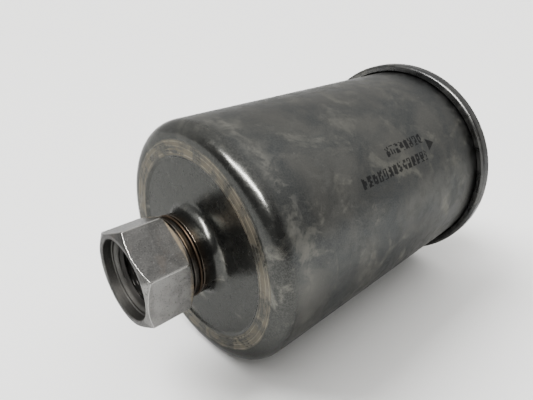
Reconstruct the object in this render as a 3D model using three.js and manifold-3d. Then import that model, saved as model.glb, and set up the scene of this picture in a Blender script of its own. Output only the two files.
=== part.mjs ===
// An in-line fuel filter: a drawn steel can closed by a double-seamed lid, with the same
// threaded hex fitting brazed into the neck at each end, and a spring-loaded paper element inside.
//
// Millimetres, +Z up. The filter's axis is X, and fuel flows from the inlet fitting at -X to the
// outlet fitting at +X. The origin is on the axis, midway between the faces of the two fittings.
// Stations along X are worked out from the crown, the foremost ring of the can's end, at 0.
import * as THREE from "three";
import { mergeVertices } from "three/addons/utils/BufferGeometryUtils.js";
import Module from "manifold-3d";

const wasm = await Module();
wasm.setup();

// ---- Driving dimensions -------------------------------------------------------------------

// Can
const CAN_RADIUS = 31.5; // outside the wall
const CAN_LENGTH = 87.9; // crown to the top of the body hook
const CAN_WALL = 0.8;
const SHOULDER_RADIUS = 4.8; // outside rounding between the wall and the crown
const CROWN_WIDTH = 3.2; // flat ring at the foremost end
const PANEL_RECESS = 0.5; // how far the end panel lies behind the crown
const PANEL_STEP = 0.6; // width of the slope from the crown down to the panel

// Necks drawn out of the can's panel and the lid's panel
const INLET_NECK_HEIGHT = 5; // above the panel
const OUTLET_NECK_HEIGHT = 7; // higher, so that a spanner clears the seam
const NECK_FILLET = 3.6; // outside, between a neck and its panel

// Double seam
const LID_WALL = 0.6;
const HOOK_WALL = 0.5; // the folded edges are ironed thinner than the sheet
const SEAM_GAP = 0.3; // between the folded layers
const SEAM_HEIGHT = 4.2;
const SEAM_ROUNDING = 0.9; // outside corners of the seam
const HOOK_OVERLAP = 1.5; // how far the two hooks pass each other
const COMPOUND_THICKNESS = 0.4; // ring of sealing compound under the seam's top
const COMPOUND_GAP = 0.2;
const SINK_DEPTH = 4; // the groove inside the seam, below the seam's top
const SINK_WIDTH = 2.4;
const LID_RECESS = 1.7; // the lid's panel below the seam's top

// Fitting, with an M16 x 1.5 thread inside and a 22 mm hex outside
const THREAD_MAJOR = 16; // diameter
const THREAD_DEPTH = 0.8; // from the major to the minor radius
const THREAD_PITCH = 1.5;
const THREAD_LENGTH = 10.5;
const LEAD_IN = 0.8; // cone from the counterbore's floor into the thread
const MOUTH_STEP = 1.7; // the plain counterbore's radius over the thread's
const MOUTH_DEPTH = 2.4;
const MOUTH_RIM = 1.1; // width of the flat ring round the counterbore
const HEX_WALL = 3; // over the thread, at the middle of a flat
const HEX_LENGTH = 11.5;
const HEX_CHAMFER_ANGLE = 30; // degrees from the end faces
const COLLAR_LENGTH = 2; // round part behind the hex, which lands on the neck
const COLLAR_UNDERCUT = 0.8; // length of the groove between the hex and the collar
const COLLAR_UNDERCUT_DEPTH = 0.6;
const SPIGOT_WALL = 1.2; // over the thread
const SPIGOT_LENGTH = 8.4; // from the collar into the neck
const BRAZE_LENGTH = 0.6; // of the braze ring between the collar and the neck's end
const FITTING_GAP = 0.3; // between the spigot and the neck, and round the braze ring
const INLET_CLOCKING = 6.3; // degrees that a hex corner stands from straight up
const OUTLET_CLOCKING = 19;

// Outlet tube, pressed into the outlet fitting
const TUBE_RADIUS = 6;
const TUBE_WALL = 0.8;
const TUBE_PRESS_LENGTH = 6; // inside the fitting
const TUBE_REACH = 9; // past the fitting, into the element
const TUBE_GAP = 0.2; // round the tube, in the fitting and in the grommet

// Element
const FLOW_GAP = 2; // ring of space between the element's caps and the can
const CAP_WALL = 0.6;
const CAP_RIM_HEIGHT = 4;
const CAP_BOSS_HEIGHT = 2; // centres the spring and turns the incoming fuel outwards
const POTTING_THICKNESS = 2; // the glue that holds the paper in each cap
const ELEMENT_GAP = 0.3; // between the element's pieces
const PLEAT_PITCH = 2.6; // between folds, round the inside of the paper
const PAPER = 0.5;
const FOLD_HALF_WIDTH = 0.8; // of a fold, outside the paper
const BAND_THICKNESS = 0.5; // the two bands that hold the pleats apart
const BAND_WIDTH = 5;
const BAND_INSET = 18; // from the paper's end
const CENTRE_TUBE_RADIUS = 13;
const CENTRE_TUBE_WALL = 0.6;
const HOLE_RADIUS = 2.2; // of the centre tube's holes
const HOLE_PITCH = 13; // along and round the centre tube
const CLIP_WALL = 0.5; // the strip that joins the paper's two ends
const CLIP_DEPTH = 3;
const GROMMET_WALL = 2.4; // rubber between the outlet tube and the cap
const GROMMET_FLANGE = 1.5; // thickness of each lip
const GROMMET_LIP = 1.2; // how far a lip reaches over the cap
const ELEMENT_STOP_GAP = 0.3; // between the element and what the spring presses it against

// Spring between the can's inlet panel and the element, and the cup that it stands in
const SPRING_WIRE = 1.6; // diameter
const SPRING_HEIGHT = 9; // as fitted
const SPRING_TURNS = 2.5;
const SPRING_END_TURN = 0.3; // flat part of a turn at each end
const SPRING_GAP = 0.3;
const SEAT_WALL = 0.5;
const SEAT_RIM_HEIGHT = 1.6;

// Fineness of the round surfaces
const SIDES = 32;
const SMALL_SIDES = 24;
const WIRE_SIDES = 8;
const HOLE_SIDES = 6;
const STEPS_A_TURN = 16; // along the spring
const OUTSIDE_ARC_STEPS = 2; // half of the straight pieces in each rounded corner
const INSIDE_ARC_STEPS = 1;

// ---- Sizes that follow --------------------------------------------------------------------

const threadRadius = THREAD_MAJOR / 2;
const minorRadius = threadRadius - THREAD_DEPTH;
const mouthRadius = threadRadius + MOUTH_STEP;
const hexFaceRadius = mouthRadius + MOUTH_RIM;
const hexRadius = (threadRadius + HEX_WALL) / Math.cos(Math.PI / 6);
const spigotRadius = threadRadius + SPIGOT_WALL;
const neckInner = spigotRadius + FITTING_GAP;
const neckRadius = neckInner + CAN_WALL;
const lidNeckRadius = neckInner + LID_WALL;
const boreRadius = TUBE_RADIUS + TUBE_GAP;

const canInner = CAN_RADIUS - CAN_WALL;
const crownOuter = CAN_RADIUS - SHOULDER_RADIUS;
const crownInner = crownOuter - CROWN_WIDTH;
const panelEdge = crownInner - PANEL_STEP;

const coverHookInner = CAN_RADIUS + SEAM_GAP;
const coverHookOuter = coverHookInner + HOOK_WALL;
const bodyHookInner = coverHookOuter + SEAM_GAP;
const bodyHookOuter = bodyHookInner + HOOK_WALL;
const skirtInner = bodyHookOuter + SEAM_GAP;
const seamRadius = skirtInner + LID_WALL;
const seamTop = CAN_LENGTH + COMPOUND_THICKNESS + 2 * COMPOUND_GAP + LID_WALL;
const seamBottom = seamTop - SEAM_HEIGHT;
const foldRadius = (bodyHookOuter - canInner) / 2; // of the can's rolled edge
const foldStart = CAN_LENGTH - foldRadius;
const chuckOuter = canInner - SEAM_GAP;
const chuckInner = chuckOuter - LID_WALL;
const sinkInner = chuckInner - SINK_WIDTH;
const sinkFloor = seamTop - SINK_DEPTH;

const inletPanel = PANEL_RECESS;
const outletPanel = seamTop - LID_RECESS;
const inletNeckEnd = inletPanel - INLET_NECK_HEIGHT;
const outletNeckEnd = outletPanel + OUTLET_NECK_HEIGHT;
const collarBack = HEX_LENGTH + COLLAR_LENGTH;
const fittingHeight = collarBack + BRAZE_LENGTH + 2 * FITTING_GAP;
const inletFace = inletNeckEnd - fittingHeight;
const outletFace = outletNeckEnd + fittingHeight;

// The element fills the room between the spring and the outlet end. There either its cap meets
// the lid's groove or its grommet meets the fitting's spigot.
const springRadius = neckRadius + NECK_FILLET + SPRING_WIRE;
const seatFoot = inletPanel + CAN_WALL + SPRING_GAP;
const springFoot = seatFoot + SEAT_WALL + SPRING_GAP;
const inletCapBack = springFoot + SPRING_HEIGHT + SPRING_GAP;
const outletSpigotEnd = outletFace - collarBack - SPIGOT_LENGTH;
const capStop = sinkFloor - LID_WALL;
const grommetStop = outletSpigotEnd - GROMMET_FLANGE - ELEMENT_GAP;
const outletCapBack = Math.min(capStop, grommetStop) - ELEMENT_STOP_GAP;
const pottingDepth = CAP_WALL + 2 * ELEMENT_GAP + POTTING_THICKNESS;
const paperStart = inletCapBack + pottingDepth;
const paperEnd = outletCapBack - pottingDepth;
const paperLength = paperEnd - paperStart;

const capRadius = canInner - FLOW_GAP;
const capBossRadius = springRadius - SPRING_WIRE / 2 - SPRING_GAP;
const capHole = boreRadius + GROMMET_WALL;
const pottingRadius = capRadius - CAP_WALL - ELEMENT_GAP;
const pottingInner = CENTRE_TUBE_RADIUS - CENTRE_TUBE_WALL;
const paperOuter = pottingRadius - ELEMENT_GAP - CLIP_WALL;
const paperInner = CENTRE_TUBE_RADIUS + ELEMENT_GAP;
const bandInner = paperOuter + ELEMENT_GAP;
const clipInner = FOLD_HALF_WIDTH + ELEMENT_GAP;
const clipOuter = clipInner + CLIP_WALL;
const pleats = Math.floor((2 * Math.PI * paperInner) / PLEAT_PITCH);
const holeRows = Math.floor(paperLength / HOLE_PITCH);
const holesInARow = Math.floor((2 * Math.PI * CENTRE_TUBE_RADIUS) / HOLE_PITCH);

// ---- Materials ----------------------------------------------------------------------------

const finish = (color, roughness, metalness) =>
  new THREE.MeshStandardMaterial({ color, roughness, metalness });

const canSteel = finish(0x77787a, 0.42, 1);
const fittingSteel = finish(0x9a9b9d, 0.35, 1);
const stampedSteel = finish(0x8d9093, 0.4, 1);
const springSteel = finish(0x5c6064, 0.3, 1);
const braze = finish(0x6b4a33, 0.45, 1);
const compound = finish(0x3b3f3c, 0.8, 0);
const paper = finish(0xd9b878, 0.9, 0);
const potting = finish(0x8c3f2b, 0.6, 0);
const rubber = finish(0x1d1d1f, 0.7, 0);

// ---- Making solids ------------------------------------------------------------------------

// A closed outline of points in (radius, station), turned about the X axis.
function turned(outline, sides = SIDES) {
  const loop = outline.map((p) => (p.isVector2 ? p : new THREE.Vector2(...p)));
  if (THREE.ShapeUtils.area(loop) < 0) loop.reverse();
  if (!loop[0].equals(loop.at(-1))) loop.push(loop[0].clone());
  return new THREE.LatheGeometry(loop, sides).rotateZ(-Math.PI / 2);
}

// A ring of rectangular section.
const ring = (inner, outer, from, to, sides) =>
  turned([[inner, from], [outer, from], [outer, to], [inner, to]], sides);

// An outline in (y, z) with its holes, stretched along X.
const prism = (shape, from, to, curveSegments) =>
  new THREE.ExtrudeGeometry(shape, { depth: to - from, bevelEnabled: false, curveSegments })
    .rotateZ(Math.PI / 2)
    .rotateY(Math.PI / 2)
    .translate(from, 0, 0);

// A geometry as a solid that can be joined and cut.
function solid(geometry) {
  const bare = geometry.clone();
  bare.deleteAttribute("normal");
  bare.deleteAttribute("uv");
  const merged = mergeVertices(bare);
  return new wasm.Manifold(
    new wasm.Mesh({
      numProp: 3,
      vertProperties: merged.attributes.position.array,
      triVerts: new Uint32Array(merged.index.array),
    }),
  );
}

// A solid as a geometry.
function geometryOf(manifold) {
  const { vertProperties, triVerts } = manifold.getMesh();
  return new THREE.BufferGeometry()
    .setAttribute("position", new THREE.BufferAttribute(vertProperties, 3))
    .setIndex(new THREE.BufferAttribute(triVerts, 1));
}

function piece(name, geometry, material) {
  geometry.computeVertexNormals();
  const mesh = new THREE.Mesh(geometry, material);
  mesh.name = name;
  return mesh;
}

function group(...children) {
  const made = new THREE.Group();
  made.add(...children);
  return made;
}

// ---- Can and lid --------------------------------------------------------------------------

// One side of a neck's sheet, from the neck's end down to the flat of its panel. `way` is the
// way that the neck points along X, -1 on the can and 1 on the lid.
function neckSide(radius, fillet, end, panel, way) {
  const side = new THREE.Path().moveTo(radius, end);
  const centre = panel + way * fillet;
  side.lineTo(radius, centre);
  return side.absarc(radius + fillet, centre, fillet, Math.PI, (-way * Math.PI) / 2, way < 0);
}

// The outline of a bent sheet, out along one side and back along the other.
const sheet = (outside, inside) => [
  ...outside.getPoints(OUTSIDE_ARC_STEPS),
  ...inside.getPoints(INSIDE_ARC_STEPS).reverse(),
];

// The can: neck, end panel, crown, shoulder, wall, and the hook folded out at its open end.
function canister() {
  const outside = neckSide(neckRadius, NECK_FILLET, inletNeckEnd, inletPanel, -1);
  outside.lineTo(panelEdge, inletPanel);
  outside.lineTo(crownInner, 0);
  outside.lineTo(crownOuter, 0);
  outside.absarc(crownOuter, SHOULDER_RADIUS, SHOULDER_RADIUS, -Math.PI / 2, 0, false);

  const inside = neckSide(
    neckInner, NECK_FILLET + CAN_WALL, inletNeckEnd, inletPanel + CAN_WALL, -1,
  );
  inside.lineTo(panelEdge, inletPanel + CAN_WALL);
  inside.lineTo(crownInner, CAN_WALL);
  inside.lineTo(crownOuter, CAN_WALL);
  const innerShoulder = SHOULDER_RADIUS - CAN_WALL;
  inside.absarc(crownOuter, SHOULDER_RADIUS, innerShoulder, -Math.PI / 2, 0, false);
  inside.absarc(canInner + foldRadius, foldStart, foldRadius, Math.PI, 0, true);
  inside.lineTo(bodyHookOuter, foldStart - HOOK_OVERLAP / 2);
  inside.lineTo(bodyHookInner, foldStart - HOOK_OVERLAP / 2);
  const crook = (bodyHookInner - CAN_RADIUS) / 2;
  inside.absarc(CAN_RADIUS + crook, foldStart, crook, 0, Math.PI, false);
  return turned(sheet(outside, inside));
}

// The lid: neck, recessed panel, sink groove, seam wall, seam top, skirt and the cover hook.
function seamLid() {
  const rounding = SEAM_ROUNDING;
  const outside = neckSide(lidNeckRadius, NECK_FILLET, outletNeckEnd, outletPanel, 1);
  outside.lineTo(sinkInner, outletPanel);
  outside.lineTo(sinkInner, sinkFloor);
  outside.lineTo(chuckInner, sinkFloor);
  outside.absarc(chuckInner + rounding, seamTop - rounding, rounding, Math.PI, Math.PI / 2, true);
  outside.absarc(seamRadius - rounding, seamTop - rounding, rounding, Math.PI / 2, 0, true);
  outside.absarc(seamRadius - rounding, seamBottom + rounding, rounding, 0, -Math.PI / 2, true);
  outside.lineTo(coverHookInner, seamBottom);
  outside.lineTo(coverHookInner, foldStart);
  outside.lineTo(coverHookOuter, foldStart);

  const inside = neckSide(
    neckInner, NECK_FILLET + LID_WALL, outletNeckEnd, outletPanel - LID_WALL, 1,
  );
  inside.lineTo(sinkInner - LID_WALL, outletPanel - LID_WALL);
  inside.lineTo(sinkInner - LID_WALL, sinkFloor - LID_WALL);
  inside.lineTo(chuckOuter, sinkFloor - LID_WALL);
  inside.lineTo(chuckOuter, seamTop - LID_WALL);
  inside.lineTo(skirtInner, seamTop - LID_WALL);
  inside.lineTo(skirtInner, seamBottom + LID_WALL);
  inside.lineTo(coverHookOuter, seamBottom + LID_WALL);
  return turned(sheet(outside, inside));
}

// The compound lies on the can's rolled edge, under the seam's top.
function seamCompound() {
  const foot = CAN_LENGTH + COMPOUND_GAP;
  return ring(canInner + HOOK_WALL, bodyHookOuter - HOOK_WALL, foot, foot + COMPOUND_THICKNESS);
}

// ---- Fittings -----------------------------------------------------------------------------

// The space that a tap leaves: a rod whose surface rises and falls once a pitch along a helix.
// Row j of column i lies at pitch * (j / 2 + i / sides), so column `sides` is column 0 two rows on.
function tap(from, to, sides = SMALL_SIDES) {
  const rows = 2 * Math.ceil((to - from) / THREAD_PITCH + 2);
  const start = from - THREAD_PITCH;
  const positions = [];
  for (let i = 0; i < sides; i++) {
    const angle = (i / sides) * 2 * Math.PI;
    for (let j = 0; j < rows; j++) {
      const radius = j % 2 ? threadRadius : minorRadius;
      const station = start + THREAD_PITCH * (j / 2 + i / sides);
      positions.push(station, radius * Math.cos(angle), radius * Math.sin(angle));
    }
  }
  const vertex = (i, j) => (i < sides ? i * rows + j : j + 2);
  const lastRow = rows - 3; // column 0 is two rows longer, to meet the last column
  const index = [];
  for (let i = 0; i < sides; i++)
    for (let j = 0; j < lastRow; j++) {
      const [a, b] = [vertex(i, j), vertex(i + 1, j)];
      const [c, d] = [vertex(i + 1, j + 1), vertex(i, j + 1)];
      index.push(a, b, c, a, c, d);
    }
  const closeEnd = (row, station, flip) => {
    const loop = Array.from({ length: sides + 1 }, (_, i) => vertex(i, row));
    loop.push(vertex(0, row + 1));
    const centre = positions.length / 3;
    positions.push(station, 0, 0);
    loop.forEach((corner, k) => {
      const next = loop[(k + 1) % loop.length];
      index.push(centre, ...(flip ? [next, corner] : [corner, next]));
    });
  };
  closeEnd(0, start, true);
  closeEnd(lastRow, start + (THREAD_PITCH * rows) / 2, false);
  const geometry = new THREE.BufferGeometry();
  geometry.setAttribute("position", new THREE.Float32BufferAttribute(positions, 3));
  geometry.setIndex(index);
  const span = turned([[0, from], [hexRadius, from], [hexRadius, to], [0, to]]);
  return solid(geometry).intersect(solid(span));
}

// The fitting stands with its mouth at 0 and its spigot along +X, with a hex corner at +Z.
function hexFitting() {
  const corners = Array.from({ length: 6 }, (_, k) => {
    const angle = (k * Math.PI) / 3;
    return new THREE.Vector2(hexRadius * Math.sin(angle), hexRadius * Math.cos(angle));
  });
  const chamfer = (hexRadius - hexFaceRadius) * Math.tan((HEX_CHAMFER_ANGLE * Math.PI) / 180);
  const chamfered = turned(
    [[0, 0], [hexFaceRadius, 0], [hexRadius, chamfer], [hexRadius, HEX_LENGTH - chamfer],
      [hexFaceRadius, HEX_LENGTH], [0, HEX_LENGTH]],
  );
  const undercut = neckRadius - COLLAR_UNDERCUT_DEPTH;
  const collarFront = HEX_LENGTH + COLLAR_UNDERCUT;
  const spigotEnd = collarBack + SPIGOT_LENGTH;
  const back = turned(
    [[0, HEX_LENGTH / 2], [undercut, HEX_LENGTH / 2], [undercut, collarFront],
      [neckRadius, collarFront], [neckRadius, collarBack], [spigotRadius, collarBack],
      [spigotRadius, spigotEnd], [0, spigotEnd]],
    SMALL_SIDES,
  );
  const threadStart = MOUTH_DEPTH + LEAD_IN;
  const threadEnd = threadStart + THREAD_LENGTH;
  const leadInEnd = MOUTH_DEPTH + LEAD_IN + THREAD_DEPTH;
  const bore = turned(
    [[0, -1], [mouthRadius, -1], [mouthRadius, MOUTH_DEPTH], [threadRadius + LEAD_IN, MOUTH_DEPTH],
      [minorRadius, leadInEnd], [minorRadius, threadEnd - 1], [boreRadius, threadEnd],
      [boreRadius, spigotEnd + 1], [0, spigotEnd + 1]],
    SMALL_SIDES,
  );
  return geometryOf(
    solid(prism(new THREE.Shape(corners), 0, HEX_LENGTH))
      .intersect(solid(chamfered))
      .add(solid(back))
      .subtract(solid(bore))
      .subtract(tap(MOUTH_DEPTH + LEAD_IN / 2, threadEnd - THREAD_PITCH)),
  );
}

// A fitting turned so that its mouth lies at `face` and its spigot points `way` along X. The
// corner that pointed straight up leans by `clocking` degrees towards -Y.
function placedFitting(name, face, way, clocking) {
  const mesh = piece(name, hexFitting(), fittingSteel);
  mesh.rotation.set((clocking * Math.PI) / 180, way > 0 ? 0 : Math.PI, 0);
  mesh.position.x = face;
  return mesh;
}

// The braze ring bulges between the fitting's collar and the neck's end, which it leaves at
// FITTING_GAP in the way that the neck points.
function brazeRing(neckEnd, way) {
  const bulge = BRAZE_LENGTH / 2;
  const middle = neckEnd + way * (FITTING_GAP + bulge);
  const outline = new THREE.Path().moveTo(neckInner, middle - bulge);
  outline.absarc(neckRadius - bulge / 2, middle, bulge, -Math.PI / 2, Math.PI / 2, false);
  outline.lineTo(neckInner, middle + bulge);
  return turned(outline.getPoints(OUTSIDE_ARC_STEPS), SMALL_SIDES);
}

// ---- Element ------------------------------------------------------------------------------

// The paper: a band of folds between paperInner and paperOuter, joined into a ring.
function pleatedMedia() {
  const zigzag = (outer, inner, crestHalf, valleyHalf) => {
    const points = [];
    for (let k = 0; k < pleats; k++) {
      const crest = ((2 * k) / pleats) * Math.PI;
      const valley = crest + Math.PI / pleats;
      for (const [radius, middle, half] of [[outer, crest, crestHalf], [inner, valley, valleyHalf]])
        for (const angle of [middle - half / radius, middle + half / radius])
          points.push(new THREE.Vector2(radius * Math.sin(angle), -radius * Math.cos(angle)));
    }
    return points;
  };
  const insideFold = FOLD_HALF_WIDTH - PAPER;
  const band = new THREE.Shape(
    zigzag(paperOuter, paperInner + PAPER, FOLD_HALF_WIDTH, insideFold),
  );
  const hole = zigzag(paperOuter - PAPER, paperInner, insideFold, FOLD_HALF_WIDTH);
  band.holes.push(new THREE.Path(hole));
  return prism(band, paperStart, paperEnd);
}

// The clip grips the pleat at the bottom, where the paper's two ends meet.
function seamClip() {
  const foot = bandInner - CLIP_DEPTH;
  const section = [[clipOuter, foot], [clipInner, foot], [clipInner, bandInner],
    [-clipInner, bandInner], [-clipInner, foot], [-clipOuter, foot],
    [-clipOuter, bandInner + CLIP_WALL], [clipOuter, bandInner + CLIP_WALL]];
  const shape = new THREE.Shape(section.map(([across, out]) => new THREE.Vector2(across, -out)));
  return prism(shape, paperStart, paperEnd);
}

// A band round the pleats, open where it meets the clip.
function pleatBand(from) {
  const opening = Math.asin((clipOuter + ELEMENT_GAP) / bandInner);
  const start = opening - Math.PI / 2;
  const end = 1.5 * Math.PI - opening;
  const shape = new THREE.Shape();
  shape.absarc(0, 0, bandInner + BAND_THICKNESS, start, end, false);
  shape.absarc(0, 0, bandInner, end, start, true);
  return prism(shape, from, from + BAND_WIDTH, SIDES / 2);
}

// The perforated tube that keeps the paper from collapsing inwards.
function centreTube() {
  let tube = solid(ring(pottingInner, CENTRE_TUBE_RADIUS, paperStart, paperEnd, SMALL_SIDES));
  for (let row = 0; row < holeRows; row++)
    for (let k = 0; k < holesInARow; k++) {
      const angle = ((k + (row % 2) / 2) / holesInARow) * 2 * Math.PI;
      const station = paperStart + ((row + 0.5) / holeRows) * paperLength;
      const length = CENTRE_TUBE_RADIUS;
      const punch = new THREE.CylinderGeometry(HOLE_RADIUS, HOLE_RADIUS, length, HOLE_SIDES)
        .translate(0, CENTRE_TUBE_RADIUS, 0)
        .rotateX(angle)
        .translate(station, 0, 0);
      tube = tube.subtract(solid(punch));
    }
  return geometryOf(tube);
}

// The closed cap: a cup over the paper's inlet end, with a boss that the spring sits round.
function inletCap() {
  const back = inletCapBack;
  const bossEnd = back - CAP_BOSS_HEIGHT;
  const bossTop = capBossRadius - CAP_WALL;
  return turned(
    [[0, bossEnd], [bossTop, bossEnd], [capBossRadius, back], [capRadius, back],
      [capRadius, back + CAP_RIM_HEIGHT], [capRadius - CAP_WALL, back + CAP_RIM_HEIGHT],
      [capRadius - CAP_WALL, back + CAP_WALL], [bossTop, back + CAP_WALL],
      [bossTop - CAP_WALL, bossEnd + CAP_WALL], [0, bossEnd + CAP_WALL]],
  );
}

// The open cap: a cup over the paper's outlet end, with a hole for the grommet.
function outletCap() {
  const back = outletCapBack;
  return turned(
    [[capHole, back], [capRadius, back], [capRadius, back - CAP_RIM_HEIGHT],
      [capRadius - CAP_WALL, back - CAP_RIM_HEIGHT], [capRadius - CAP_WALL, back - CAP_WALL],
      [capHole, back - CAP_WALL]],
  );
}

// The glue that fills the foot of a cap.
const pottingRing = (from) => ring(pottingInner, pottingRadius, from, from + POTTING_THICKNESS);

// The grommet grips the edge of the outlet cap's hole and slides on the outlet tube.
function grommet() {
  const waist = capHole - ELEMENT_GAP;
  const lip = capHole + GROMMET_LIP;
  const capBack = outletCapBack + ELEMENT_GAP;
  const capFront = outletCapBack - CAP_WALL - ELEMENT_GAP;
  const front = capFront - GROMMET_FLANGE;
  const back = capBack + GROMMET_FLANGE;
  return turned(
    [[boreRadius, front], [lip, front], [lip, capFront], [waist, capFront], [waist, capBack],
      [lip, capBack], [lip, back], [boreRadius, back]],
    SMALL_SIDES,
  );
}

// ---- Spring -------------------------------------------------------------------------------

// The spring's wire follows a helix with a flat part of a turn at each end.
class SpringPath extends THREE.Curve {
  getPoint(t, target = new THREE.Vector3()) {
    const turns = t * (SPRING_TURNS + 2 * SPRING_END_TURN);
    const angle = turns * 2 * Math.PI;
    const rise = THREE.MathUtils.clamp((turns - SPRING_END_TURN) / SPRING_TURNS, 0, 1);
    const station = springFoot + SPRING_WIRE / 2 + rise * (SPRING_HEIGHT - SPRING_WIRE);
    return target.set(station, springRadius * Math.cos(angle), springRadius * Math.sin(angle));
  }
}

function spring() {
  const section = new THREE.Shape().absarc(0, 0, SPRING_WIRE / 2, 0, 2 * Math.PI);
  return new THREE.ExtrudeGeometry(section, {
    steps: Math.round((SPRING_TURNS + 2 * SPRING_END_TURN) * STEPS_A_TURN),
    curveSegments: WIRE_SIDES / 2,
    extrudePath: new SpringPath(),
  });
}

// The cup stands on the inside of the can's end panel and keeps the spring off the neck.
function springSeat() {
  const inner = neckRadius + NECK_FILLET + SPRING_GAP;
  const outer = springRadius + SPRING_WIRE / 2 + SPRING_GAP + SEAT_WALL;
  const top = seatFoot + SEAT_RIM_HEIGHT;
  return turned(
    [[inner, seatFoot], [outer, seatFoot], [outer, top], [outer - SEAT_WALL, top],
      [outer - SEAT_WALL, seatFoot + SEAT_WALL], [inner, seatFoot + SEAT_WALL]],
    SMALL_SIDES,
  );
}

// ---- Assembly -----------------------------------------------------------------------------

function outletTube() {
  const start = outletSpigotEnd - TUBE_REACH;
  const end = outletSpigotEnd + TUBE_PRESS_LENGTH;
  return ring(TUBE_RADIUS - TUBE_WALL, TUBE_RADIUS, start, end, SMALL_SIDES);
}

const housing = group(
  piece("canister", canister(), canSteel),
  piece("seam_lid", seamLid(), canSteel),
  piece("seam_compound", seamCompound(), compound),
  placedFitting("inlet_fitting", inletFace, 1, INLET_CLOCKING),
  placedFitting("outlet_fitting", outletFace, -1, OUTLET_CLOCKING),
  piece("inlet_braze_ring", brazeRing(inletNeckEnd, -1), braze),
  piece("outlet_braze_ring", brazeRing(outletNeckEnd, 1), braze),
  piece("outlet_tube", outletTube(), stampedSteel),
  piece("spring_cup", springSeat(), stampedSteel),
  piece("element_spring", spring(), springSteel),
);

const element = group(
  piece("element_inlet_cap", inletCap(), stampedSteel),
  piece("element_outlet_cap", outletCap(), stampedSteel),
  piece("inlet_potting", pottingRing(inletCapBack + CAP_WALL + ELEMENT_GAP), potting),
  piece("outlet_potting", pottingRing(paperEnd + ELEMENT_GAP), potting),
  piece("pleated_media", pleatedMedia(), paper),
  piece("media_seam_clip", seamClip(), stampedSteel),
  piece("inlet_pleat_band", pleatBand(paperStart + BAND_INSET), paper),
  piece("outlet_pleat_band", pleatBand(paperEnd - BAND_INSET - BAND_WIDTH), paper),
  piece("centre_tube", centreTube(), stampedSteel),
  piece("outlet_grommet", grommet(), rubber),
);

const filter = group(housing, element);
filter.position.x = -(inletFace + outletFace) / 2;

export default group(filter);
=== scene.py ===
import math

import bmesh
import bpy
import numpy as np
from mathutils import Matrix, Vector


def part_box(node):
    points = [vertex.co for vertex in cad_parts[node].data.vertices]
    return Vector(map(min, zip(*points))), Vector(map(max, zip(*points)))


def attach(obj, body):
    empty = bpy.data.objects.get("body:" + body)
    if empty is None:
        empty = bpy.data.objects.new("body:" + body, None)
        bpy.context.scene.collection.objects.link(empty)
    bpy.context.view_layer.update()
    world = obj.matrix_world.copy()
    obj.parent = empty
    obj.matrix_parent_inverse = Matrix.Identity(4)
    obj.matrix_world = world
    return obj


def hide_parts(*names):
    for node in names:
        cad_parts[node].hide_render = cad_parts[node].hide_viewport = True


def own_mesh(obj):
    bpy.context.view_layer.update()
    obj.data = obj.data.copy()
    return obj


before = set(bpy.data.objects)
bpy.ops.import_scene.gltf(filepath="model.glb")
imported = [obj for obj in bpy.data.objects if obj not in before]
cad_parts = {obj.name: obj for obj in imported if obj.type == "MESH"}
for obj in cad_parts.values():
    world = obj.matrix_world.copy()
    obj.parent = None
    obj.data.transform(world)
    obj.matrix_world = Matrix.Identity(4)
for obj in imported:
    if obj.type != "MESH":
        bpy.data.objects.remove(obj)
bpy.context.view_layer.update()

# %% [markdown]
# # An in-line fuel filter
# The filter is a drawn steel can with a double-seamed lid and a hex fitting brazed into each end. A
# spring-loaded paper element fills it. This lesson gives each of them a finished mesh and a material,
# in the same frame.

MM = 0.001

# %% [markdown]
# ## Stations and radii
# Everything round is described by its station along X and its radius. The stations hang on the CAD
# boxes: the can's box starts at the end of its neck, and the crown, the foremost ring of the can's
# end, lies a little behind it. The sheet thicknesses and gaps are those of the real seam.

# %% Sizes of the can and the seam
NECK_PAST_CROWN = 4.5 * MM
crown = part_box("canister")[0].x + NECK_PAST_CROWN
CAN_LENGTH = 87.9 * MM
CAN_WALL = 0.8 * MM
SHOULDER_RADIUS = 4.8 * MM
CROWN_WIDTH = 3.2 * MM
PANEL_RECESS = 0.5 * MM
PANEL_STEP = 0.6 * MM
NECK_FILLET = 3.6 * MM
LID_WALL = 0.6 * MM
HOOK_WALL = 0.5 * MM
SEAM_GAP = 0.3 * MM
SEAM_HEIGHT = 4.2 * MM
SEAM_ROUNDING = 0.9 * MM
HOOK_OVERLAP = 1.5 * MM
COMPOUND_THICKNESS = 0.4 * MM
COMPOUND_GAP = 0.2 * MM
SINK_DEPTH = 4 * MM
SINK_WIDTH = 2.4 * MM
LID_RECESS = 1.7 * MM
FITTING_GAP = 0.3 * MM
HEX_WALL = 3 * MM
HEX_LENGTH = 11.5 * MM
MINOR_RADIUS = 7.2 * MM
THREAD_RADIUS = 8 * MM
MOUTH_STEP = 1.7 * MM
MOUTH_RIM = 1.1 * MM
SPIGOT_WALL = 1.2 * MM

seam_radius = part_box("seam_lid")[1].y
skirt_inner = seam_radius - LID_WALL
body_hook_outer = skirt_inner - SEAM_GAP
body_hook_inner = body_hook_outer - HOOK_WALL
cover_hook_outer = body_hook_inner - SEAM_GAP
cover_hook_inner = cover_hook_outer - HOOK_WALL
can_radius = cover_hook_inner - SEAM_GAP
can_inner = can_radius - CAN_WALL
crown_outer = can_radius - SHOULDER_RADIUS
crown_inner = crown_outer - CROWN_WIDTH
panel_edge = crown_inner - PANEL_STEP
can_end = crown + CAN_LENGTH
seam_top = can_end + COMPOUND_THICKNESS + 2 * COMPOUND_GAP + LID_WALL
seam_bottom = seam_top - SEAM_HEIGHT
inlet_panel = crown + PANEL_RECESS
outlet_panel = seam_top - LID_RECESS
fold_radius = (body_hook_outer - can_inner) / 2
fold_start = can_end - fold_radius
inlet_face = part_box("inlet_fitting")[0].x
outlet_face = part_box("outlet_fitting")[1].x
inlet_neck_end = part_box("canister")[0].x
outlet_neck_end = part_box("seam_lid")[1].x
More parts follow.
